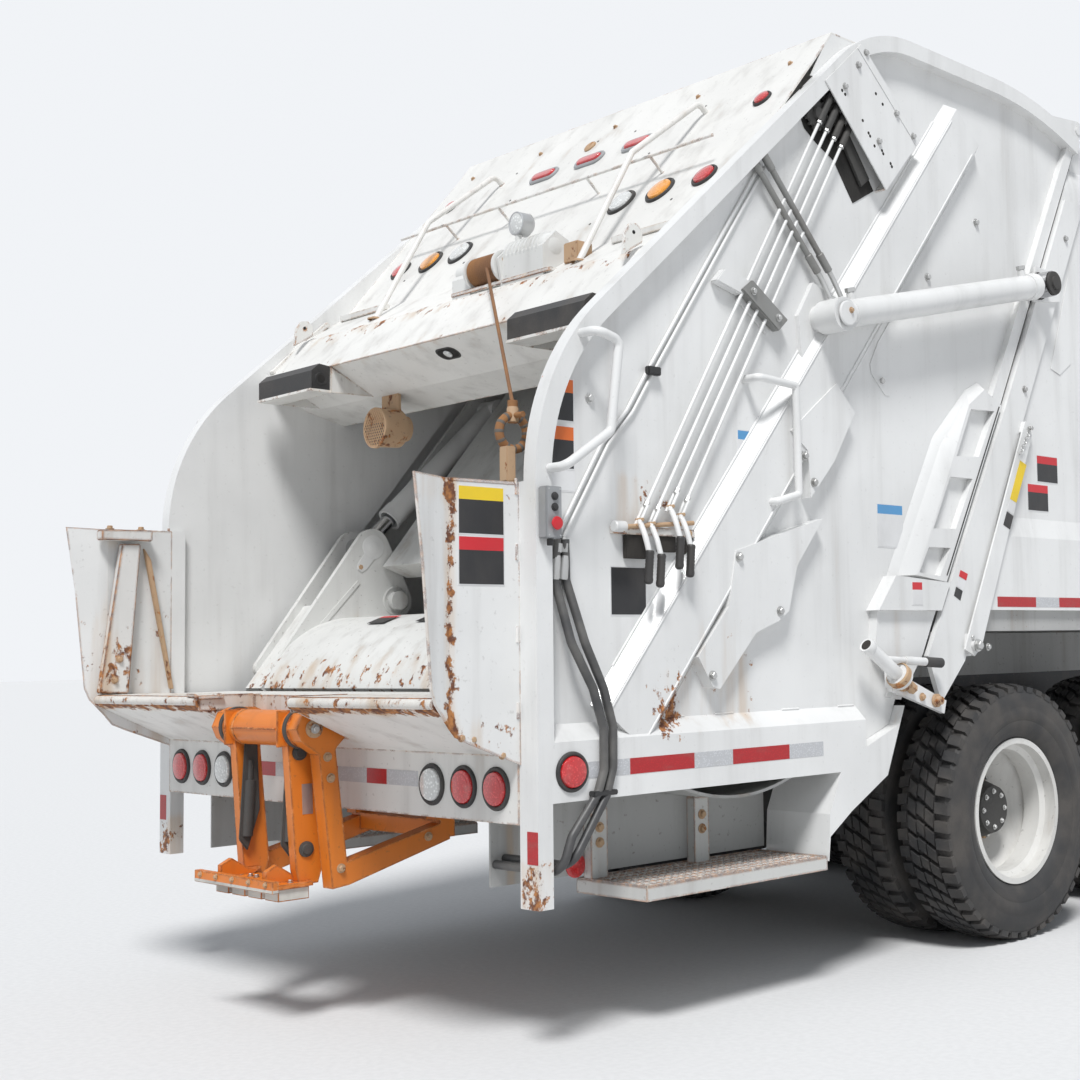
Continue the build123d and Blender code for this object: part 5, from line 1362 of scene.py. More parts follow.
@dataclass
class SideWallTrim:
    """Raised column, bolts, seams and small fittings on the tailgate's side walls."""

    channel_start: Flat = (0.355, 0.969)
    channel_end: Flat = (2.275, 3.364)
    pocket_floor: float = 1.183
    column_face: float = 1.213

    def weld(self, shape: Shape, x: float, start: Flat, end: Flat, radius: float = 0.005) -> None:
        """Weld bead between two places on a side."""
        shape.rod(at(x, *start), at(x, *end), radius, Look.BODY, 8)

    def along(self, run: float, off: float) -> Flat:
        """Place beside the packer channel from distance along it and off its middle.

        Args:
            run: Distance from the channel's start.
            off: Distance from its middle.

        Returns:
            Station and height.
        """
        start, end = self.channel_start, self.channel_end
        way = Vector((end[0] - start[0], end[1] - start[1])).normalized()
        side = Vector((-way.y, way.x))
        return start[0] + way.x * run + side.x * off, start[1] + way.y * run + side.y * off

    def column(self, shape: Shape, way: int) -> None:
        """Raised column along the joint, with three pockets, on one side.

        Args:
            shape: Piece that it goes into.
            way: 1 on the right, -1 on the left.
        """
        foot = [(1.719, 1.484), (2.032, 2.049), (2.267, 2.269), (2.349, 2.307), (2.458, 2.216),
            (2.046, 1.462)]
        face = [(1.846, 1.490), (2.105, 1.965), (2.225, 2.195), (2.335, 2.268), (2.452, 2.214),
            (2.042, 1.466)]
        rise = 0.39
        floor = [(a[0] + rise * (b[0] - a[0]), a[1] + rise * (b[1] - a[1])) for a, b in zip(foot, face)]
        # Each letter is a corner of the face, with its places on the pockets' floor and on the face
        corners = dict(zip("abcdef", zip(floor, face)))
        pockets = {"g": (2.237, 2.178), "h": (2.400, 2.184), "i": (2.283, 1.984), "j": (2.130, 1.976),
            "k": (2.084, 1.890), "l": (2.236, 1.890), "m": (2.112, 1.680), "n": (1.965, 1.676),
            "o": (1.932, 1.602), "p": (2.072, 1.602), "q": (2.000, 1.488), "r": (1.868, 1.500)}
        corners.update({key: (spot, spot) for key, spot in pockets.items()})
        wall, middle, high = way * (WALL_X - 0.002), way * self.pocket_floor, way * self.column_face
        shape.tapered([at(wall, *p) for p in foot], [at(middle, *p) for p in floor], Look.BODY)
        for ring in ("abcgjknor", "fehilmpq", "cdehg", "jilk", "nmpo", "rqfa"):
            low = [at(middle, *corners[key][0]) for key in ring]
            shape.tapered(low, [at(high, *corners[key][1]) for key in ring], Look.BODY)
        strip = between(high, high + way * 0.0015)
        shape.side_slab([(2.047, 1.492), (2.439, 2.207), (2.432, 2.207), (2.040, 1.492)], strip,
            Look.RUBBER)

    def build(self) -> None:
        """Trim of both walls; the operator's side has more."""
        trim = Shape("side_trim")
        for way, out in SIDES:
            for off in (-0.088, 0.088):
                self.weld(trim, way * (CHANNEL_FACE + 0.0005), self.along(0.02, off), self.along(3.0, off),
                    0.0035)
            for off in (-0.136, 0.136):
                self.weld(trim, way * (WALL_X + 0.001), self.along(0.15, off), self.along(2.95, off))
            for s, z in ((0.871, 1.531), (1.070, 1.347), (0.735, 1.130), (1.215, 1.905), (1.262, 1.812)):
                trim.bolt(at(way * (CHANNEL_FACE + 0.0062), s, z), out, 0.024, Look.STEEL)
            self.column(trim, way)
            cheek = between(way * 1.151, way * 1.1585)
            trim.side_slab([(1.360, 3.360), (1.424, 3.474), (1.483, 3.5545), (1.750, 3.5545),
                (1.750, 3.360)], cheek, Look.BODY)
            for s, z in ((1.720, 2.241), (2.373, 2.989), (0.262, 2.02), (1.62, 3.20), (2.03, 2.70)):
                trim.bolt(at(way * WALL_X, s, z), out, 0.024, Look.STEEL)
            panel = [(1.705, 2.392), (1.653, 2.300), (1.660, 2.262), (1.740, 2.186), (1.765, 2.185),
                (2.005, 2.478), (1.930, 2.560), (1.842, 2.560)]
            x = between(way * (WALL_X + 0.0005), way * (WALL_X + 0.003))
            trim.side_slab(panel, x, Look.BODY, 0.0008)
            seal = between(way * 1.150, way * 1.190)
            joint = [(1.891, 1.175), (2.467, 2.214), (3.100, 3.438)]
            trim.side_slab([(s + 0.0035, z) for s, z in joint] + [(s + 0.0095, z) for s, z in joint[::-1]],
                seal, Look.RUBBER)
            for s in (0.36, 0.56, 0.79, 1.12, 1.42):
                self.weld(trim, way * (WALL_X + 0.001), (s, 1.0005), (s + 0.09, 1.0005), 0.004)
            trim.turned(at(way * 1.3285, *LIFT_FOOT), out, [(0, 0.046), (0.004, 0.046), (0.007, 0.042),
                (0.008, 0)], Look.BODY, 32)
            trim.bolt(at(way * 1.3365, 1.352, 2.437), out, 0.016, Look.RUSTY)
        clip = at(WALL_X + 0.018, 0.518, 2.137)
        trim.box((clip.x - 0.012, clip.x + 0.010), (0.492, 0.548), (2.122, 2.150), Look.PLASTIC, 0.003)
        for s, z in ((0.119, 1.573), (0.147, 1.573)):
            end = at(WALL_X + 0.0063, s, z)
            trim.rod(end, end + Vector((0.006, -0.004, -0.030)), 0.010, Look.STEEL, 12)
        for s in (0.1115, 0.1435):
            trim.turned(at(WALL_X + 0.0143, s, 1.515), Vector((0, -0.10, -1)),
                [(0, 0.0145), (0.030, 0.0165), (0.070, 0.0165), (0.075, 0.0145)], Look.STEEL, 20)
            trim.turned(at(WALL_X + 0.0143, s + 0.004, 1.553), Vector((0, -0.10, -1)),
                [(0, 0), (0, 0.0155), (0.028, 0.0155), (0.028, 0)], Look.STEEL, 6)
        trim.box((HALF_WIDTH + 0.001, HALF_WIDTH + 0.030), (0.196, 0.292), (0.776, 0.792), Look.PLASTIC,
            0.003)
        trim.bolt(at(WALL_X + 0.003, 0.05, 1.0), RIGHT, 0.014, Look.STEEL)
        for x_off, s0, z0, s1, z1 in ((0.030, 0.985, 2.965, 1.330, 2.600), (0.036, 1.040, 2.985, 1.385,
                2.612)):
            start, end = at(WALL_X + x_off, s0, z0), at(WALL_X + x_off, s1, z1)
            way = (end - start).normalized()
            trim.rod(start, end, 0.0115, Look.CAST_GREY, 14)
            for base, turn in ((start, way), (end, -way)):
                trim.rod(base - turn * 0.004, base + turn * 0.075, 0.0150, Look.CAST_GREY, 14)
            port = at(WALL_X + x_off + 0.02, s1 + 0.045, z1 - 0.095)
            trim.bent_bar([end, end + way * 0.03, port], 0.010, Look.STEEL, 0.02)
            trim.rod(start - Vector((x_off - 0.002, 0, 0)), start, 0.012, Look.CAST, 12)
        trim.done("tailgate", slot="body_paint")


@dataclass
class Locks:
    """Rusty clamp rings, nut, pin and grip of the tailgate's screw locks."""

    lock_x: float = 1.262

    def build(self) -> None:
        """Details of both locks."""
        locks = Shape("lock_details")
        for way, out in SIDES:
            x = way * self.lock_x
            start, end = at(x, 1.480, 1.222), at(x, 1.700, 1.082)
            run = (end - start).normalized()
            locks.turned(start - run * 0.001, run, [(0, 0), (0.0, 0.021), (-0.001, 0.027), (0.006, 0.029),
                (0.026, 0.029), (0.030, 0.0265)], Look.BODY, 28)
            # Painted shade: near-black disc in the clamp tube's open end
            locks.turned(start - run * 0.0018, run, [(0, 0.0205), (0.0004, 0)], Look.PAINTED_SHADE, 24)
            locks.turned(end, run, [(-0.058, 0.0445), (-0.052, 0.050), (-0.030, 0.050), (-0.024, 0.0445)],
                Look.RUSTY, 32, closed=True)
            locks.turned(end, run, [(0, 0), (0, 0.021), (0.060, 0.021), (0.064, 0.016), (0.064, 0)],
                Look.RUSTY, 6)
            arm, tip = at(x, 1.700, 1.162), at(x, 1.930, 1.147)
            grip = (tip - arm).normalized()
            locks.turned(tip - grip * 0.105, grip, [(0, 0.0165), (0.002, 0.0195), (0.100, 0.0195),
                (0.107, 0.013), (0.107, 0)], Look.PLASTIC, 20)
            for s, z, radius in ((1.702, 1.078, 0.034), (1.905, 1.003, 0.026)):
                locks.turned(at(x - way * 0.014, s, z), out, [(0, 0), (0, radius), (0.010, radius),
                    (0.012, radius * 0.7), (0.030, radius * 0.6), (0.032, 0)], Look.RUSTY, 20)
            locks.bolt(at(x - way * 0.014, 1.820, 1.020), out, 0.022, Look.RUSTY)
        locks.done("tailgate", slot="body_paint")


@dataclass
class BodyFrameTrim:
    """Safety prop's patches, chain and bolts, the lift cylinders' caps and ports."""

    prop_x: float = HALF_WIDTH + 0.020
    eye_z: float = 2.128
    cylinder_x: float = 1.268

    def patches(self, upper: Flat, lower: Flat) -> list[tuple[list[Flat], Flat, Look]]:
        """Colour patches on the safety prop and on the column behind it.

        Args:
            upper: The two values of x of the prop's patches.
            lower: The same of the column's patches.

        Returns:
            Outline, values of x and finish of each patch.
        """
        return [
            ([(2.542, 1.986), (2.588, 1.970), (2.505, 1.805), (2.460, 1.819)], upper, Look.PLATE_YELLOW),
            ([(2.456, 1.812), (2.501, 1.798), (2.482, 1.752), (2.436, 1.769)], upper, Look.PLATE_WHITE),
            ([(2.434, 1.765), (2.480, 1.748), (2.452, 1.690), (2.406, 1.708)], upper, Look.PLATE_BLACK),
            ([(2.128, 1.515), (2.176, 1.500), (2.164, 1.474), (2.117, 1.490)], lower, Look.PLATE_RED),
            ([(2.115, 1.487), (2.163, 1.471), (2.140, 1.432), (2.098, 1.450)], lower, Look.PLATE_WHITE),
            ([(2.096, 1.447), (2.138, 1.430), (2.121, 1.392), (2.080, 1.412)], lower, Look.PLATE_BLACK),
        ]

    def build(self) -> None:
        """Trim of the body's columns and of the lift cylinders."""
        trim = Shape("frame_trim")
        for way, out in SIDES:
            flat = between(way * (self.prop_x + 0.0004), way * (self.prop_x + 0.0014))
            low = between(way * (HALF_WIDTH + 0.0004), way * (HALF_WIDTH + 0.0014))
            for outline, x, finish in self.patches(flat, low):
                trim.side_slab(outline, x, finish)
            trim.bolt(at(way * (self.prop_x + 0.018), 2.178, 1.212), out, 0.036, Look.STEEL)
            trim.bolt(at(way * (HALF_WIDTH + 0.014), 2.170, 1.245), out, 0.020, Look.STEEL)
            eye = at(way * (self.prop_x + 0.001), 2.612, self.eye_z)
            trim.rod(eye, at(way * (self.prop_x + 0.022), 2.612, self.eye_z), 0.009, Look.STEEL, 14)
            for index in range(7):
                centre = at(way * (self.prop_x + 0.012), 2.604 - 0.012 * index, 2.118 - 0.017 * index)
                lean = Vector((0.0, 0.45, 0.9)) if index % 2 else Vector((way, 0.2, 0.1))
                side = lean.cross(Vector((0, -0.58, -0.81))).normalized()
                trim.turned(centre, side, [(-0.0025, 0.0075), (0, 0.0100), (0.0025, 0.0075), (0, 0.0055)],
                    Look.STEEL, 12, closed=True)
            for s, z in ((2.30, 1.205), (2.62, 2.30), (2.98, 3.02)):
                trim.bolt(at(way * HALF_WIDTH, s, z), out, 0.022, Look.STEEL)
            trim.turned(at(way * (HALF_WIDTH + 0.012), *LIFT_EYE), out, [(0, 0.0585), (0.002, 0.0600),
                (0.010, 0.0600), (0.0108, 0.0585)], Look.CAST, 36, closed=True)
            panel = between(way * 1.1955, way * 1.1985)
            trim.side_slab([(2.86, 2.42), (2.93, 2.40), (3.02, 2.46), (3.09, 2.80), (3.02, 2.86)], panel,
                Look.BODY, 0.001)
        trim.done("truck", slot="body_paint")
        caps = Shape("lift_caps")
        for way, out in SIDES:
            caps.turned(at(way * 1.3065, *LIFT_EYE), out, [(0, 0.050), (0.005, 0.052), (0.012, 0.050),
                (0.013, 0.030), (0.022, 0.028), (0.024, 0)], Look.CAST, 32)
        caps.done("lift_cylinder_rods", slot="rod_chrome")
        ports = Shape("lift_ports")
        for way in (-1, 1):
            base = at(way * self.cylinder_x, *LIFT_FOOT)
            run = (at(way * self.cylinder_x, *LIFT_EYE) - base).normalized()
            up = Vector((0, -run.z, run.y))
            for along in (0.110, 1.260):
                ports.rod(base + run * along + up * 0.045, base + run * along + up * 0.078, 0.017,
                    Look.BODY, 16)
                ports.turned(base + run * along + up * 0.078, up, [(0, 0), (0, 0.020), (0.016, 0.020),
                    (0.016, 0)], Look.STEEL, 6)
            for along, radius in ((0.075, 0.0545), (1.300, 0.0575), (1.325, 0.0570)):
                ports.turned(base + run * along, run, [(0, radius - 0.003), (0.002, radius),
                    (0.010, radius), (0.012, radius - 0.003)], Look.BODY, 40, closed=True)
        ports.done("lift_cylinder_barrels", slot="body_paint")


# The tail's face
@dataclass
class HopperTrim:
    """Rolled lips, horn plate, guard arms and struts at the hopper's opening."""

    lip_s: float = -0.2875
    guard_x: float = 1.120

    def lips(self, shape: Shape) -> None:
        """Rolled steel along both lips, with a horn plate left of the notch.

        Args:
            shape: Piece that it goes into.
        """
        for way in (-1, 1):
            ends = between(way * 0.312, way * 1.122)
            shape.rod(at(ends[0], self.lip_s, 1.0745), at(ends[1], self.lip_s, 1.0745), 0.0165, Look.LIP,
                20)
            shape.box(ends, (self.lip_s, -0.05), (1.0895, 1.0935), Look.LIP, 0.001)
            edge = between(way * 0.306, way * 0.318)
            shape.box(edge, (self.lip_s, -0.080), (1.040, 1.096), Look.LIP, 0.003)
        horn = [(-0.375, 1.102), (-0.312, 1.101), (-0.294, 1.094), (-0.292, 1.082), (-0.300, 1.082),
            (-0.312, 1.090), (-0.375, 1.092)]
        shape.prism([at(x, -0.302, z) for x, z in horn], Vector((0, 0.10, 0)), Look.LIP, 0.002)

    def arms(self, shape: Shape) -> None:
        """Tapered arm, two-bolt head and strut inside the left guard.

        Args:
            shape: Piece that it goes into.
        """
        x = -self.guard_x + 0.001
        shape.side_slab([(-0.296, 1.100), (-0.184, 1.096), (-0.140, 1.680), (-0.214, 1.678)],
            (x, x + 0.034), Look.LATCH, 0.004)
        shape.side_slab([(-0.300, 1.690), (-0.102, 1.690), (-0.102, 1.734), (-0.300, 1.730)],
            (x, x + 0.052), Look.LATCH, 0.004)
        shape.side_slab([(-0.120, 1.664), (-0.092, 1.620), (0.0035, 1.108), (-0.010, 1.108)],
            (x, x + 0.018), Look.RUSTY, 0.002)
        for s in (-0.262, -0.140):
            shape.bolt(at(x + 0.030, s, 1.734), UP, 0.022, Look.RUSTY)
        for s, z in ((-0.240, 1.150), (-0.222, 1.230)):
            shape.bolt(at(x + 0.034, s, z), RIGHT, 0.020, Look.RUSTY)

    def right_guard(self, shape: Shape) -> None:
        """Rusty bracket on the guard's top, bolts and nuts low on its fold, edge strips.

        Args:
            shape: Piece that it goes into.
        """
        x = self.guard_x + 0.0085
        shape.box((x - 0.044, x - 0.004), (-0.030, 0.004), (1.7385, 1.850), Look.RUSTY, 0.003)
        shape.box((x - 0.070, x - 0.004), (-0.030, 0.004), (1.7385, 1.746), Look.RUSTY, 0.002)
        for s, z in ((-0.205, 0.975), (-0.165, 0.968), (-0.060, 0.915)):
            shape.bolt(at(x, s, z), RIGHT, 0.018, Look.RUSTY)
        for way in (-1, 1):
            face = between(way * (GUARD_X + 0.0002), way * (GUARD_X + 0.0095))
            shape.side_slab([(-0.248, 1.727), (0.003, 1.729), (0.003, 1.739), (-0.248, 1.737)], face,
                Look.GUARD, 0.001)
            for z in (1.02, 1.25, 1.50, 1.70):
                spot = at(way * (GUARD_X + 0.008), -0.006, z)
                shape.rod(spot, spot + UP * 0.05, 0.005, Look.GUARD, 8)

    def reflectors(self, shape: Shape) -> None:
        """Round red reflectors on the support plates, and bolts of their hangers.

        Args:
            shape: Piece that it goes into.
        """
        for way, out in SIDES:
            shape.turned(at(way * 0.9043, 0.397, 0.520), out, [(0, 0.040), (0.004, 0.040), (0.006, 0.037),
                (0.006, 0)], Look.RED_LENS, 32)
            for s in (0.468, 0.935):
                for z in (0.590, 0.640):
                    shape.bolt(at(way * 0.9443, s, z), out, 0.024, Look.RUSTY)
                shape.box(between(way * 0.9045, way * 0.9435), (s - 0.034, s + 0.034), (0.6985, 0.706),
                    Look.STEP, 0.002)

    def build(self) -> None:
        """All trim of the hopper's opening."""
        trim = Shape("hopper_trim")
        self.lips(trim)
        self.arms(trim)
        self.right_guard(trim)
        self.reflectors(trim)
        trim.done("tailgate", slot="body_paint")


@dataclass
class BeamTrim:
    """Lamp slot, lugs, stop bores, lattice guard and small board fittings."""

    beam_lip: Flat = (0.420, 2.392)
    beam_fold: Flat = (0.620, 2.285)
    wire_ring: float = 0.0745
    lamp: TailLamps = field(default_factory=TailLamps)

    def slot_lamp(self, shape: Shape) -> None:
        """Rounded slot, its inside a sheet of painted shade in a rubber rim, with a small lens in the
        beam's lower rear face.

        Args:
            shape: Piece that it goes into.
        """
        lip, fold = self.beam_lip, self.beam_fold
        run = Vector((0, fold[0] - lip[0], fold[1] - lip[1])).normalized()
        out = Vector((0, run.z, -run.y))
        middle = at(0.068, *lip) + run * 0.085
        for half, tall, off, finish in ((0.062, 0.034, 0.0004, Look.RUBBER),
                (0.054, 0.026, 0.0012, Look.PAINTED_SHADE)):
            outline = []
            for angle in turns(32):
                side = (half - tall) * (1 if math.cos(angle) >= 0 else -1)
                corner = middle + RIGHT * (side + tall * math.cos(angle)) + run * tall * math.sin(angle)
                outline.append(corner + out * off)
            shape.prism(outline, out * 0.001, finish)
        shape.turned(middle + out * 0.002, out, [(0, 0.019), (0.004, 0.018), (0.007, 0.012), (0.008, 0)],
            Look.CLEAR_LENS, 24)

    def lugs(self, shape: Shape) -> None:
        """Lifting lugs, their holes painted as discs of shade, at both ends of the ledge and ribs at the
        walls.

        Args:
            shape: Piece that it goes into.
        """
        for way in (-1, 1):
            x = between(way * 1.052, way * 1.068)
            shape.side_slab([(0.500, 2.546), (0.585, 2.600), (0.585, 2.640), (0.560, 2.662), (0.528, 2.655),
                (0.506, 2.620)], x, Look.HOOD, 0.002)
            for side in x:
                shape.turned(at(side, 0.545, 2.628), RIGHT, [(-0.0005, 0.014), (0.0005, 0)], Look.PAINTED_SHADE, 20)
            rib = between(way * 1.1585, way * 1.130)
            shape.side_slab([(0.440, 2.440), (0.560, 2.560), (0.700, 2.690), (0.715, 2.676), (0.575, 2.545),
                (0.450, 2.428)], rib, Look.HOOD, 0.002)

    def stops(self, shape: Shape) -> None:
        """Bores in the ends of the rubber stops, their depth painted as shade.

        Args:
            shape: Piece that it goes into.
        """
        for x, way in ((-0.6395, 1), (0.6395, -1), (-1.0565, -1), (1.0565, 1)):
            out = Vector((way, 0, 0))
            shape.turned(at(x, 0.380, 2.336), out, [(0, 0.026), (0.0015, 0.025), (0.0005, 0.018),
                (0.0004, 0)], Look.RUBBER, 28)
            shape.turned(at(x, 0.380, 2.336), out, [(0.0009, 0.017), (0.0011, 0)], Look.PAINTED_SHADE, 20)

    def lattice(self, shape: Shape) -> None:
        """Rim ring and crossed wires over the work light's open end.

        Args:
            shape: Piece that it goes into.
        """
        centre = at(-0.510, 0.5445, 2.138)
        shape.turned(centre, REAR, [(-0.012, 0.0785), (-0.012, 0.0825), (0.002, 0.0825), (0.003, 0.0785),
            (0.002, 0.070), (-0.0005, 0.070)], Look.RUSTY, 40, closed=True)
        shape.turned(centre, REAR, [(0.0003, 0.070), (0.0006, 0)], Look.WORK_GLASS, 32)
        for index in range(-6, 7):
            off = index * 0.0125
            half = math.sqrt(max(0.0, self.wire_ring ** 2 - off * off))
            if half < 0.01:
                continue
            for lean in (1, -1):
                way = Vector((lean * 0.55, 0, 0.835))
                side = Vector((0.835, 0, -lean * 0.55))
                middle = centre + side * off - Vector((0, 0.003 + 0.001 * lean, 0))
                shape.rod(middle - way * half, middle + way * half, 0.0019, Look.RUSTY, 6)

    def board_bits(self, shape: Shape) -> None:
        """Small drilled holes painted as discs of shade, screws and edge strips on the board and ledge.

        Args:
            shape: Piece that it goes into.
        """
        lamp = self.lamp
        for x, up in ((-0.86, 0.18), (-0.42, 0.18), (0.40, 0.18), (0.86, 0.18), (-0.45, 0.60), (0.45, 0.60),
                (-0.09, 0.854), (-0.06, 0.87), (0.20, 0.84), (-0.60, 0.84), (0.62, 0.84)):
            shape.turned(lamp.board_spot(x, up), lamp.board_out, [(0, 0.006), (0.0006, 0.0055),
                (0.0006, 0)], Look.PAINTED_SHADE, 12)
        for x in (-1.02, -0.51, 0.0, 0.51, 1.02):
            shape.bolt(lamp.board_spot(x, 0.945), lamp.board_out, 0.016, Look.RUSTY)
        shape.turned(lamp.board_spot(-0.09, 0.842), lamp.board_out, [(0, 0.030), (0.006, 0.030),
            (0.010, 0.022), (0.010, 0)], Look.RUSTY, 20)
        for x in (-0.66, 0.66):
            foot = at(x, 0.640, 2.616)
            shape.turned(foot, UP, [(0, 0.030), (0.006, 0.030), (0.008, 0.020), (0.012, 0.014)], Look.RUSTY,
                20)
        for x0, x1 in ((-1.10, -0.75), (0.72, 1.10)):
            shape.box((x0, x1), (0.742, 0.770), (2.690, 2.716), Look.HOOD, 0.003)

    def build(self) -> None:
        """Trim of the beam, ledge and board."""
        trim = Shape("beam_trim")
        self.slot_lamp(trim)
        self.lugs(trim)
        self.stops(trim)
        self.lattice(trim)
        self.board_bits(trim)
        trim.done("tailgate", slot="body_paint")


@dataclass
class WinchTrim:
    """Wound rope, ribbed gearbox dome, lamp head and small box of the winch."""

    axis_place: Flat = (0.620, 2.672)
    wire: float = 0.0055
    rib_pitch: float = 0.024

    def build(self) -> None:
        """Details over the winch's solids."""
        trim = Shape("winch_details")
        for layer, radius, count in ((0, 0.0435, 15), (1, 0.0525, 14)):
            for index in range(count):
                x = 0.0885 + 2 * self.wire * index + self.wire * layer
                strand = [(x + self.wire * math.cos(a), radius + self.wire * math.sin(a)) for a in turns(8)]
                trim.turned(at(0, *self.axis_place), RIGHT, strand, Look.ROPE, 28, closed=True)
        for x in (0.0715, 0.2495):
            trim.turned(at(x, *self.axis_place), RIGHT, [(0, 0.055), (0.001, 0.062), (0.009, 0.062),
                (0.0105, 0.055)], Look.WINCH, 36, closed=True)
        dome = [(0.0, 0.052)]
        for rib in range(9):
            start = rib * self.rib_pitch
            dome += [(0.006 + start, 0.060), (0.016 + start, 0.060), (0.018 + start, 0.053),
                (0.026 + start, 0.053)]
        dome += [(0.232, 0.046), (0.240, 0.030), (0.242, 0)]
        trim.turned(at(0.281, 0.648, 2.704), RIGHT, [(0, 0), *dome], Look.WINCH, 40)
        trim.turned(at(-0.045, 0.640, 2.690), RIGHT, [(0, 0), (0, 0.030), (0.006, 0.036), (0.118, 0.036),
            (0.122, 0.030)], Look.WINCH, 32)
        for s, z in ((0.598, 2.690), (0.660, 2.716), (0.636, 2.650)):
            trim.bolt(at(0.2805, s, z), RIGHT, 0.014, Look.RUSTY)
        lamp = at(0.300, 0.6395, 2.830)
        trim.turned(lamp, REAR, [(-0.050, 0.0425), (-0.046, 0.0450), (0.002, 0.0450), (0.004, 0.042),
            (0.001, 0.037)], Look.TANK, 36)
        trim.turned(lamp, REAR, [(0.0005, 0.038), (0.004, 0.030), (0.006, 0.015), (0.006, 0)],
            Look.CLEAR_LENS, 32)
        trim.turned(lamp + Vector((0, 0.050, 0.004)), AHEAD, [(0, 0.0425), (0.012, 0.034), (0.018, 0.018),
            (0.019, 0)], Look.TANK, 32)
        trim.bolt(at(0.300, 0.650, 2.758), UP, 0.020, Look.STEEL)
        trim.box((0.575, 0.655), (0.640, 0.712), (2.625, 2.700), Look.RUSTY, 0.004)
        trim.box((-0.045, 0.560), (0.586, 0.712), (2.596, 2.612), Look.HOOD, 0.003)
        hook = at(1.075, 0.030, 1.9850)
        trim.turned(hook, UP, [(-0.055, 0.012), (-0.052, 0.0185), (-0.010, 0.0185), (0.004, 0.012),
            (0.008, 0.0085)], Look.RUSTY, 20)
        for angle in turns(12):
            spot = at(1.075, 0.030, 1.900) + spoke(angle, 0.052)
            way = spoke(angle + math.pi / 2, 1.0)
            trim.turned(spot, way, [(-0.005, 0.0142), (-0.0035, 0.0148), (0.0035, 0.0148), (0.005, 0.0142)],
                Look.GREY_ROPE, 14)
        trim.done("tailgate", slot="winch_paint")


@dataclass
class LifterTrim:
    """Collars, pins, pads, blank plate and bolts of the cart lifter."""

    pivot: Flat = (-0.190, 0.985)
    post_x: float = 0.2862

    def build(self) -> None:
        """Details on the fixed posts and on the turning arms."""
        fixed = Shape("lifter_fixed_details")
        for way, out in SIDES:
            fixed.turned(at(way * 0.2045, *self.pivot), out, [(0, 0.0643), (0.001, 0.0685), (0.019, 0.0685),
                (0.020, 0.0643)], Look.CAST, 40, closed=True)
            fixed.turned(at(way * self.post_x, *self.pivot), out, [(0, 0.030), (0.006, 0.030),
                (0.008, 0.024), (0.008, 0)], Look.RUSTY, 28)
            fixed.bolt(at(way * (self.post_x + 0.008), *self.pivot), out, 0.022, Look.STEEL)
            for s, z in ((-0.140, 0.890), (-0.128, 0.820), (-0.090, 0.520), (0.250, 0.590)):
                fixed.bolt(at(way * self.post_x, s, z), out, 0.022, Look.RUSTY)
        fixed.done("tailgate", slot="lifter_paint")
        arms = Shape("lifter_arm_details")
        for way, out in SIDES:
            for s, z in ((-0.190, 0.905), (-0.165, 0.585)):
                arms.turned(at(way * 0.1952, s, z), out, [(0, 0.026), (0.005, 0.026), (0.007, 0.018),
                    (0.012, 0.016), (0.013, 0)], Look.CAST, 24)
            x = between(way * 0.146, way * 0.134)
            arms.side_slab([(-0.205, 0.930), (-0.160, 0.930), (-0.150, 0.700), (-0.195, 0.560),
                (-0.225, 0.600)], x, Look.CAST, 0.003)
            arms.turned(at(way * 0.140, -0.190, 0.740), Vector((0, 0.05, 1)), [(-0.130, 0), (-0.130, 0.020),
                (0.060, 0.020), (0.062, 0.012), (0.130, 0.012), (0.130, 0)], Look.CAST, 20)
        for x in (-0.210, -0.100, 0.010, 0.120):
            arms.box((x - 0.0012, x + 0.0862), (-0.2712, -0.1588), (0.4238, 0.4665), Look.NYLON, 0.004)
            for off in (0.022, 0.063):
                arms.bolt(at(x + off, -0.215, 0.4802), UP, 0.016, Look.STEEL)
        arms.box((-0.2635, 0.2635), (-0.3235, -0.2985), (0.4605, 0.4755), Look.NYLON, 0.003)
        for x in (-0.22, -0.11, 0.0, 0.11, 0.22):
            arms.bolt(at(x, -0.3222, 0.488), REAR, 0.014, Look.RUSTY)
        arms.side_slab([(-0.178, 0.700), (-0.140, 0.700), (-0.143, 0.800), (-0.181, 0.800)],
            (0.1952, 0.1962), Look.TANK)
        for x in (-0.180, 0.172):
            arms.box((x, x + 0.008), (-0.262, -0.200), (0.925, 1.046), Look.ORANGE, 0.002)
        seam = REAR * 0.0615
        arms.rod(at(-0.150, *self.pivot) + seam, at(0.150, *self.pivot) + seam, 0.0035, Look.ORANGE, 8)
        arms.turned(at(0.0, *self.pivot), RIGHT, [(-0.151, 0.0605), (-0.149, 0.0625), (-0.139, 0.0625),
            (-0.137, 0.0605)], Look.ORANGE, 40, closed=True)
        arms.done("lifter", slot="lifter_paint")


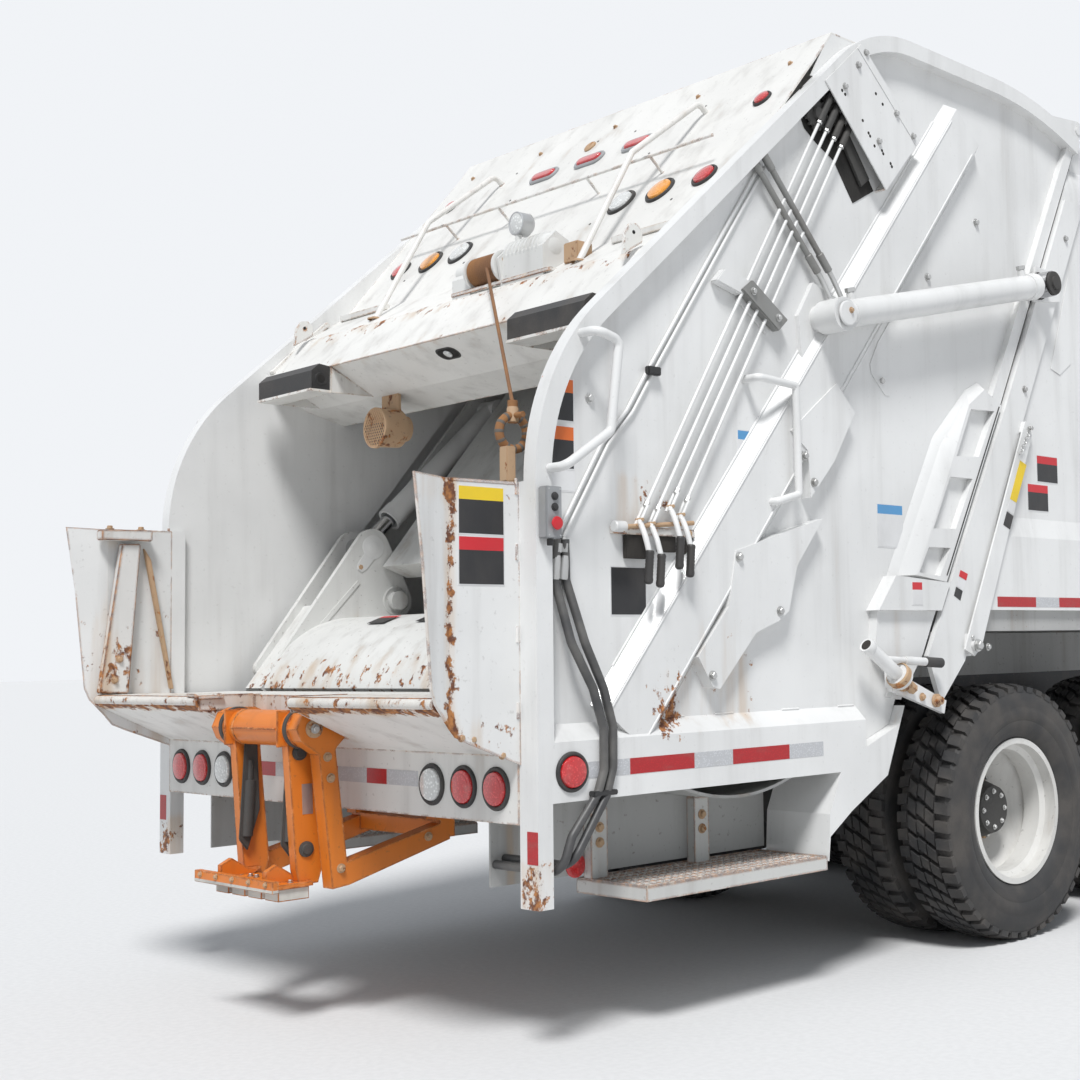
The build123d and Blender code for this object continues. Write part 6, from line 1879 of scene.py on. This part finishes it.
@dataclass
class BladeTrim:
    """Pin heads, keepers and wear strips of the sweep blade, and its labels' colours."""

    lever_pin: Flat = (0.800, 1.690)
    pivot: Flat = (0.910, 1.460)
    cheek_x: float = 0.9296

    def cheek(self, shape: Shape, way: int) -> None:
        """Details on the inner face of one lever plate.

        Args:
            shape: Piece that it goes into.
            way: 1 on the right, -1 on the left.
        """
        inward = Vector((-way, 0, 0))
        face = way * self.cheek_x
        shape.turned(at(face, *self.lever_pin), inward, [(0, 0.052), (0.0022, 0.052), (0.0032, 0.048),
            (0.0032, 0.026), (0.0042, 0.024), (0.0045, 0)], Look.BODY, 36)
        shape.side_slab([(0.806, 1.640), (0.770, 1.596), (0.744, 1.580), (0.722, 1.590), (0.722, 1.612),
            (0.748, 1.650), (0.775, 1.680)], between(face, face - way * 0.003), Look.BODY, 0.001)
        shape.turned(at(face - way * 0.003, 0.738, 1.602), inward, [(0, 0.011), (0.0013, 0.011),
            (0.0015, 0)], Look.RUSTY, 6)
        shape.turned(at(face, *self.pivot), inward, [(0, 0.062), (0.003, 0.062), (0.0045, 0.056)],
            Look.PACKER, 36)
        shape.side_slab([(0.352, 1.155), (0.420, 1.232), (0.722, 1.545), (0.735, 1.532), (0.435, 1.215),
            (0.366, 1.140)], between(face, face - way * 0.004), Look.PACKER, 0.001)

    def build(self) -> None:
        """Details of both lever plates, and two labels on the curved shell."""
        trim = Shape("blade_details")
        for way in (-1, 1):
            self.cheek(trim, way)
        lift = Vector((0, -0.0004, 0.0012))
        for x0, x1, head in ((-0.520, -0.400, Look.PLATE_RED), (-0.180, -0.060, Look.PLATE_ORANGE)):
            for low, high, finish in (((0.5120, 1.3505), (0.5675, 1.3715), Look.PLATE_BLACK),
                    ((0.5675, 1.3715), (0.5920, 1.3785), head)):
                trim.prism([at(x0, *low), at(x1, *low), at(x1, *high), at(x0, *high)], lift, finish)
        trim.done("blade", slot="packer_paint")


@dataclass
class Steps:
    """Open-grip tread and raised rims of both side steps."""

    top_z: float = 0.470
    pitch: float = 0.0305
    row_pitch: float = 0.0465
    last_s: float = 1.272

    def build(self) -> None:
        """Raised buttons in staggered rows, their piercings painted as shade, with rims along the edges."""
        for way, name in ((-1, "left"), (1, "right")):
            tread = Shape(f"step_tread_{name}")
            for row in range(7):
                for index in range(27):
                    s = 0.452 + self.pitch * index + (self.pitch / 2 if row % 2 else 0.0)
                    if s > self.last_s:
                        continue
                    spot = at(way * (0.905 + self.row_pitch * row), s, self.top_z + 0.0002)
                    tread.turned(spot, UP, [(0, 0.0128), (0.0045, 0.0098), (0.0050, 0.0070),
                        (0.0012, 0.0052)], Look.STEP, 10)
                    tread.turned(spot, UP, [(0.0012, 0.0054), (0.0014, 0)], Look.PAINTED_SHADE, 10)
            for x in (0.873, 1.2105):
                edge = between(way * x, way * (x + 0.006))
                tread.box(edge, (0.431, 1.289), (self.top_z, self.top_z + 0.0055), Look.STEP, 0.001)
            for s in (0.431, 1.283):
                edge = between(way * 0.874, way * 1.216)
                tread.box(edge, (s, s + 0.006), (self.top_z, self.top_z + 0.0055), Look.STEP, 0.001)
            tread.done("tailgate", slot="tread_plate")


# The front half
@dataclass
class CabTrim:
    """Lamps, grille, wipers, trim lines, steps and mirror faces of the cab."""

    front_s: float = 9.180
    half: float = 1.190
    axle: Flat = (7.750, 0.525)
    arch: float = 0.655

    def front(self, shape: Shape) -> None:
        """Headlamps in bezels, grille slats over a sheet of painted shade, wipers and roof marker lamps.

        Args:
            shape: Piece that it goes into.
        """
        for x in (-1.030, -0.850, 0.850, 1.030):
            seat = at(x, self.front_s + 0.0004, 0.900)
            shape.turned(seat, AHEAD, [(0, 0.085), (0.022, 0.085), (0.029, 0.080), (0.026, 0.072)],
                Look.CHROME, 40)
            shape.turned(seat, AHEAD, [(0.020, 0.0735), (0.026, 0.060), (0.0285, 0.030), (0.0295, 0)],
                Look.CLEAR_LENS, 40)
        for index in range(6):
            z = 0.815 + 0.055 * index
            shape.box((-0.49, 0.49), (self.front_s + 0.0245, self.front_s + 0.034), (z, z + 0.030),
                Look.PLASTIC, 0.004)
        shape.box((-0.518, 0.518), (self.front_s + 0.0242, self.front_s + 0.0262), (0.777, 1.158), Look.PAINTED_SHADE,
            0.0005)
        for way in (-1, 1):
            pivot = at(way * 0.10, 9.1895, 1.385)
            tip = at(way * 0.62, 9.125, 1.930)
            shape.rod(pivot - AHEAD * 0.012, pivot + AHEAD * 0.010, 0.016, Look.PLASTIC, 16)
            shape.bent_bar([pivot, at(way * 0.16, 9.180, 1.440), tip], 0.006, Look.PLASTIC, 0.03, 8)
            shape.rod(at(way * 0.40, 9.1465, 1.700), at(way * 0.82, 9.112, 2.120), 0.007, Look.RUBBER, 8)
            shape.turned(at(way * 1.115, self.front_s + 0.0005, 1.090), AHEAD, [(0, 0.045), (0.012, 0.045),
                (0.018, 0.038), (0.020, 0)], Look.AMBER_LENS, 28)
        for x in (-0.95, -0.15, 0.0, 0.15, 0.95):
            shape.turned(at(x, 8.960, 2.815), Vector((0, 0.85, 0.52)), [(0, 0.034), (0.010, 0.034),
                (0.022, 0.024), (0.028, 0)], Look.AMBER_LENS, 24)

    def rubber(self, shape: Shape) -> None:
        """Window seals round the windscreen and rear window.

        Args:
            shape: Piece that it goes into.
        """
        for x, low, high, radius in ((1.05, (9.1665, 1.410), (9.0695, 2.610), 0.011),
                (0.71, (7.4285, 1.89), (7.4285, 2.51), 0.010)):
            shape.seal([at(-x, *low), at(x, *low), at(x, *high), at(-x, *high)], radius)

    def sides(self, shape: Shape) -> None:
        """Quarter window seals, rain gutters, arch flares, steps and mirror faces.

        Args:
            shape: Piece that it goes into.
        """
        for way in (-1, 1):
            x = way * (self.half + 0.0005)
            pane = ((7.690, 1.610), (8.340, 1.610), (8.340, 2.480), (7.690, 2.480))
            shape.seal([at(x, *corner) for corner in pane], 0.008)
            gutter = between(x, x + way * 0.012)
            shape.box(gutter, (7.46, 9.04), (2.655, 2.668), Look.CAB, 0.002)
            shape.box(gutter, (7.46, 8.42), (1.290, 1.300), Look.CAB, 0.002)
            axle_s, axle_z = self.axle
            angles = [math.radians(4 + 172 * index / 24) for index in range(13)]
            inner, outer = ([(axle_s + radius * math.cos(a), axle_z + radius * math.sin(a)) for a in angles]
                for radius in (self.arch, self.arch * 1.065))
            shape.side_slab(inner + outer[::-1], gutter, Look.BUMPER_TRIM, 0.002)
            for z in (0.505, 0.530):
                shape.box(between(way * (self.half + 0.001), way * (self.half + 0.020)), (8.46, 9.03),
                    (z, z + 0.010), Look.STEP, 0.002)
            mirror = ((1.262, 1.715), (1.408, 1.715), (1.408, 2.385), (1.262, 2.385))
            shape.prism([at(way * x, 9.1293, z) for x, z in mirror], REAR * 0.002, Look.MIRROR)

    def build(self) -> None:
        """Trim of the cab; its lamps stand for the frame's."""
        lamps = Shape("cab_face")
        self.front(lamps)
        stands_for(lamps.done("truck", slot="front_lens"), "front_lamps")
        trim = Shape("cab_trim_lines")
        self.rubber(trim)
        self.sides(trim)
        trim.done("truck", slot="cab_paint")
        for name, way in (("left", -1), ("right", 1)):
            door = Shape(f"door_trim_{name}")
            x = way * (self.half + 0.0006)
            pane = ((8.512, 1.472), (8.988, 1.472), (8.988, 2.478), (8.512, 2.478))
            door.seal([at(x, *corner) for corner in pane], 0.008)
            ridge = between(x, x + way * 0.006)
            door.box(ridge, (8.470, 9.025), (1.180, 1.192), Look.CAB, 0.002)
            door.box(ridge, (8.470, 9.025), (0.760, 0.772), Look.CAB, 0.002)
            door.turned(at(x, 8.700, 1.330), RIGHT * way, [(0, 0.016), (0.006, 0.016), (0.007, 0.008),
                (0.005, 0)], Look.STEEL, 20)
            for z in (0.90, 2.20):
                hinge = at(way * (self.half + 0.006), 9.030, z)
                door.rod(hinge, hinge + UP * 0.09, 0.011, Look.CAB, 12)
            door.done(f"door_{name}_body", slot="cab_paint")


@dataclass
class ChassisTrim:
    """Tank straps and cap, box lids, frame bolts, stack shield, body ribs and bumper details."""

    tank: Flat = (0.860, 0.760)
    stack: Flat = (-0.900, 7.260)
    rib_x: Flat = (1.1955, 1.2145)

    def build(self) -> None:
        """Details along the chassis and at the front of the body."""
        trim = Shape("chassis_details")
        tank_x, tank_z = self.tank
        for s in (5.505, 6.455):
            trim.turned(at(tank_x, s, tank_z), AHEAD, [(0, 0.2905), (0, 0.2945), (0.050, 0.2945),
                (0.050, 0.2905)], Look.STEEL, 56, closed=True)
        for s, way in ((5.300, -1), (6.700, 1)):
            trim.turned(at(tank_x, s, tank_z), AHEAD * way, [(-0.004, 0.2905), (-0.004, 0.2950),
                (0.004, 0.2950), (0.006, 0.270), (0.001, 0.262)], Look.TANK, 56)
        trim.turned(at(0.960, 5.900, 1.030), Vector((0.35, 0, 0.94)), [(0, 0.052), (0.020, 0.052),
            (0.026, 0.046), (0.026, 0)], Look.CAST_GREY, 28)
        for s0, s1, z in ((5.300, 6.100, 1.040), (6.200, 6.800, 1.000)):
            trim.box((-1.156, -0.596), (s0 - 0.006, s1 + 0.006), (z, z + 0.012), Look.TANK, 0.004)
            for s in (s0 + 0.12, s1 - 0.12):
                trim.box((-1.158, -1.1505), (s - 0.02, s + 0.02), (z - 0.060, z + 0.006), Look.STEEL, 0.002)
        for way in (-1, 1):
            for s in (2.10, 2.90, 3.40, 4.40, 4.90, 5.60, 6.30, 7.00):
                for z in (0.86, 1.01):
                    trim.bolt(at(way * 0.4302, s, z), RIGHT * way, 0.022, Look.STEEL)
        for index in range(22):
            z = 1.55 + 0.044 * index
            trim.turned(at(*self.stack, z), UP, [(0, 0.1255), (0.002, 0.1285), (0.010, 0.1285),
                (0.012, 0.1255)], Look.TANK, 40, closed=True)
        trim.turned(at(*self.stack, 3.1502), UP, [(-0.060, 0.0625), (-0.060, 0.066), (0.000, 0.066),
            (0.001, 0.055)], Look.EXHAUST, 32)
        # Painted shade: near-black disc in the exhaust's open end
        trim.turned(at(*self.stack, 3.1504), UP, [(0, 0.056), (0.0004, 0)], Look.PAINTED_SHADE, 24)
        trim.done("truck", slot="chassis_paint")
        body = Shape("body_details")
        for way in (-1, 1):
            x = between(way * self.rib_x[0], way * self.rib_x[1])
            for s in [3.30 + 0.62 * i for i in range(7)]:
                body.box(x, (s, s + 0.060), (1.752, 3.220), Look.BODY, 0.004)
            rail = between(way * 1.1955, way * 1.2155)
            body.box(rail, (3.30, 7.076), (3.205, 3.265), Look.BODY, 0.004)
            for s in [3.6 + 0.6 * i for i in range(6)]:
                body.bolt(at(way * HALF_WIDTH, s, 1.62), RIGHT * way, 0.016, Look.BODY)
        for s in (3.4, 4.6, 5.8, 6.9):
            body.box((-0.88, 0.88), (s, s + 0.07), (3.4905, 3.5005), Look.BODY, 0.003)
        for x in (-0.92, 0.92):
            body.turned(at(x, 7.0835, 3.36), AHEAD, [(0, 0.034), (0.010, 0.034), (0.022, 0.024),
                (0.026, 0)], Look.AMBER_LENS, 24)
        body.done("truck", slot="body_paint")
        front = Shape("bumper_details")
        for way in (-1, 1):
            for x in (0.30, 0.60):
                front.rod(at(way * x, 9.200, 0.4305), at(way * x, 9.200, 0.418), 0.014, Look.STEEL, 12)
            pad = between(way * 0.700, way * 0.900)
            front.box(pad, (9.160, 9.250), (0.422, 0.4305), Look.BUMPER_TRIM, 0.002)
        front.done("truck", slot="bumper_paint")


def main() -> None:
    """Dress the frame and build every piece, in order."""
    logging.basicConfig(level=logging.INFO, format="%(message)s")
    for part in (Studio(), Solids(), Wheels(), TailLamps(), TapeStrips(), BlankPlates(), OperatorControls(),
            SideWallTrim(), Locks(), BodyFrameTrim(), HopperTrim(), BeamTrim(), WinchTrim(), LifterTrim(),
            BladeTrim(), Steps(), CabTrim(), ChassisTrim()):
        part.build()
        log.info("built %s", type(part).__name__)


if __name__ == "__main__":
    main()
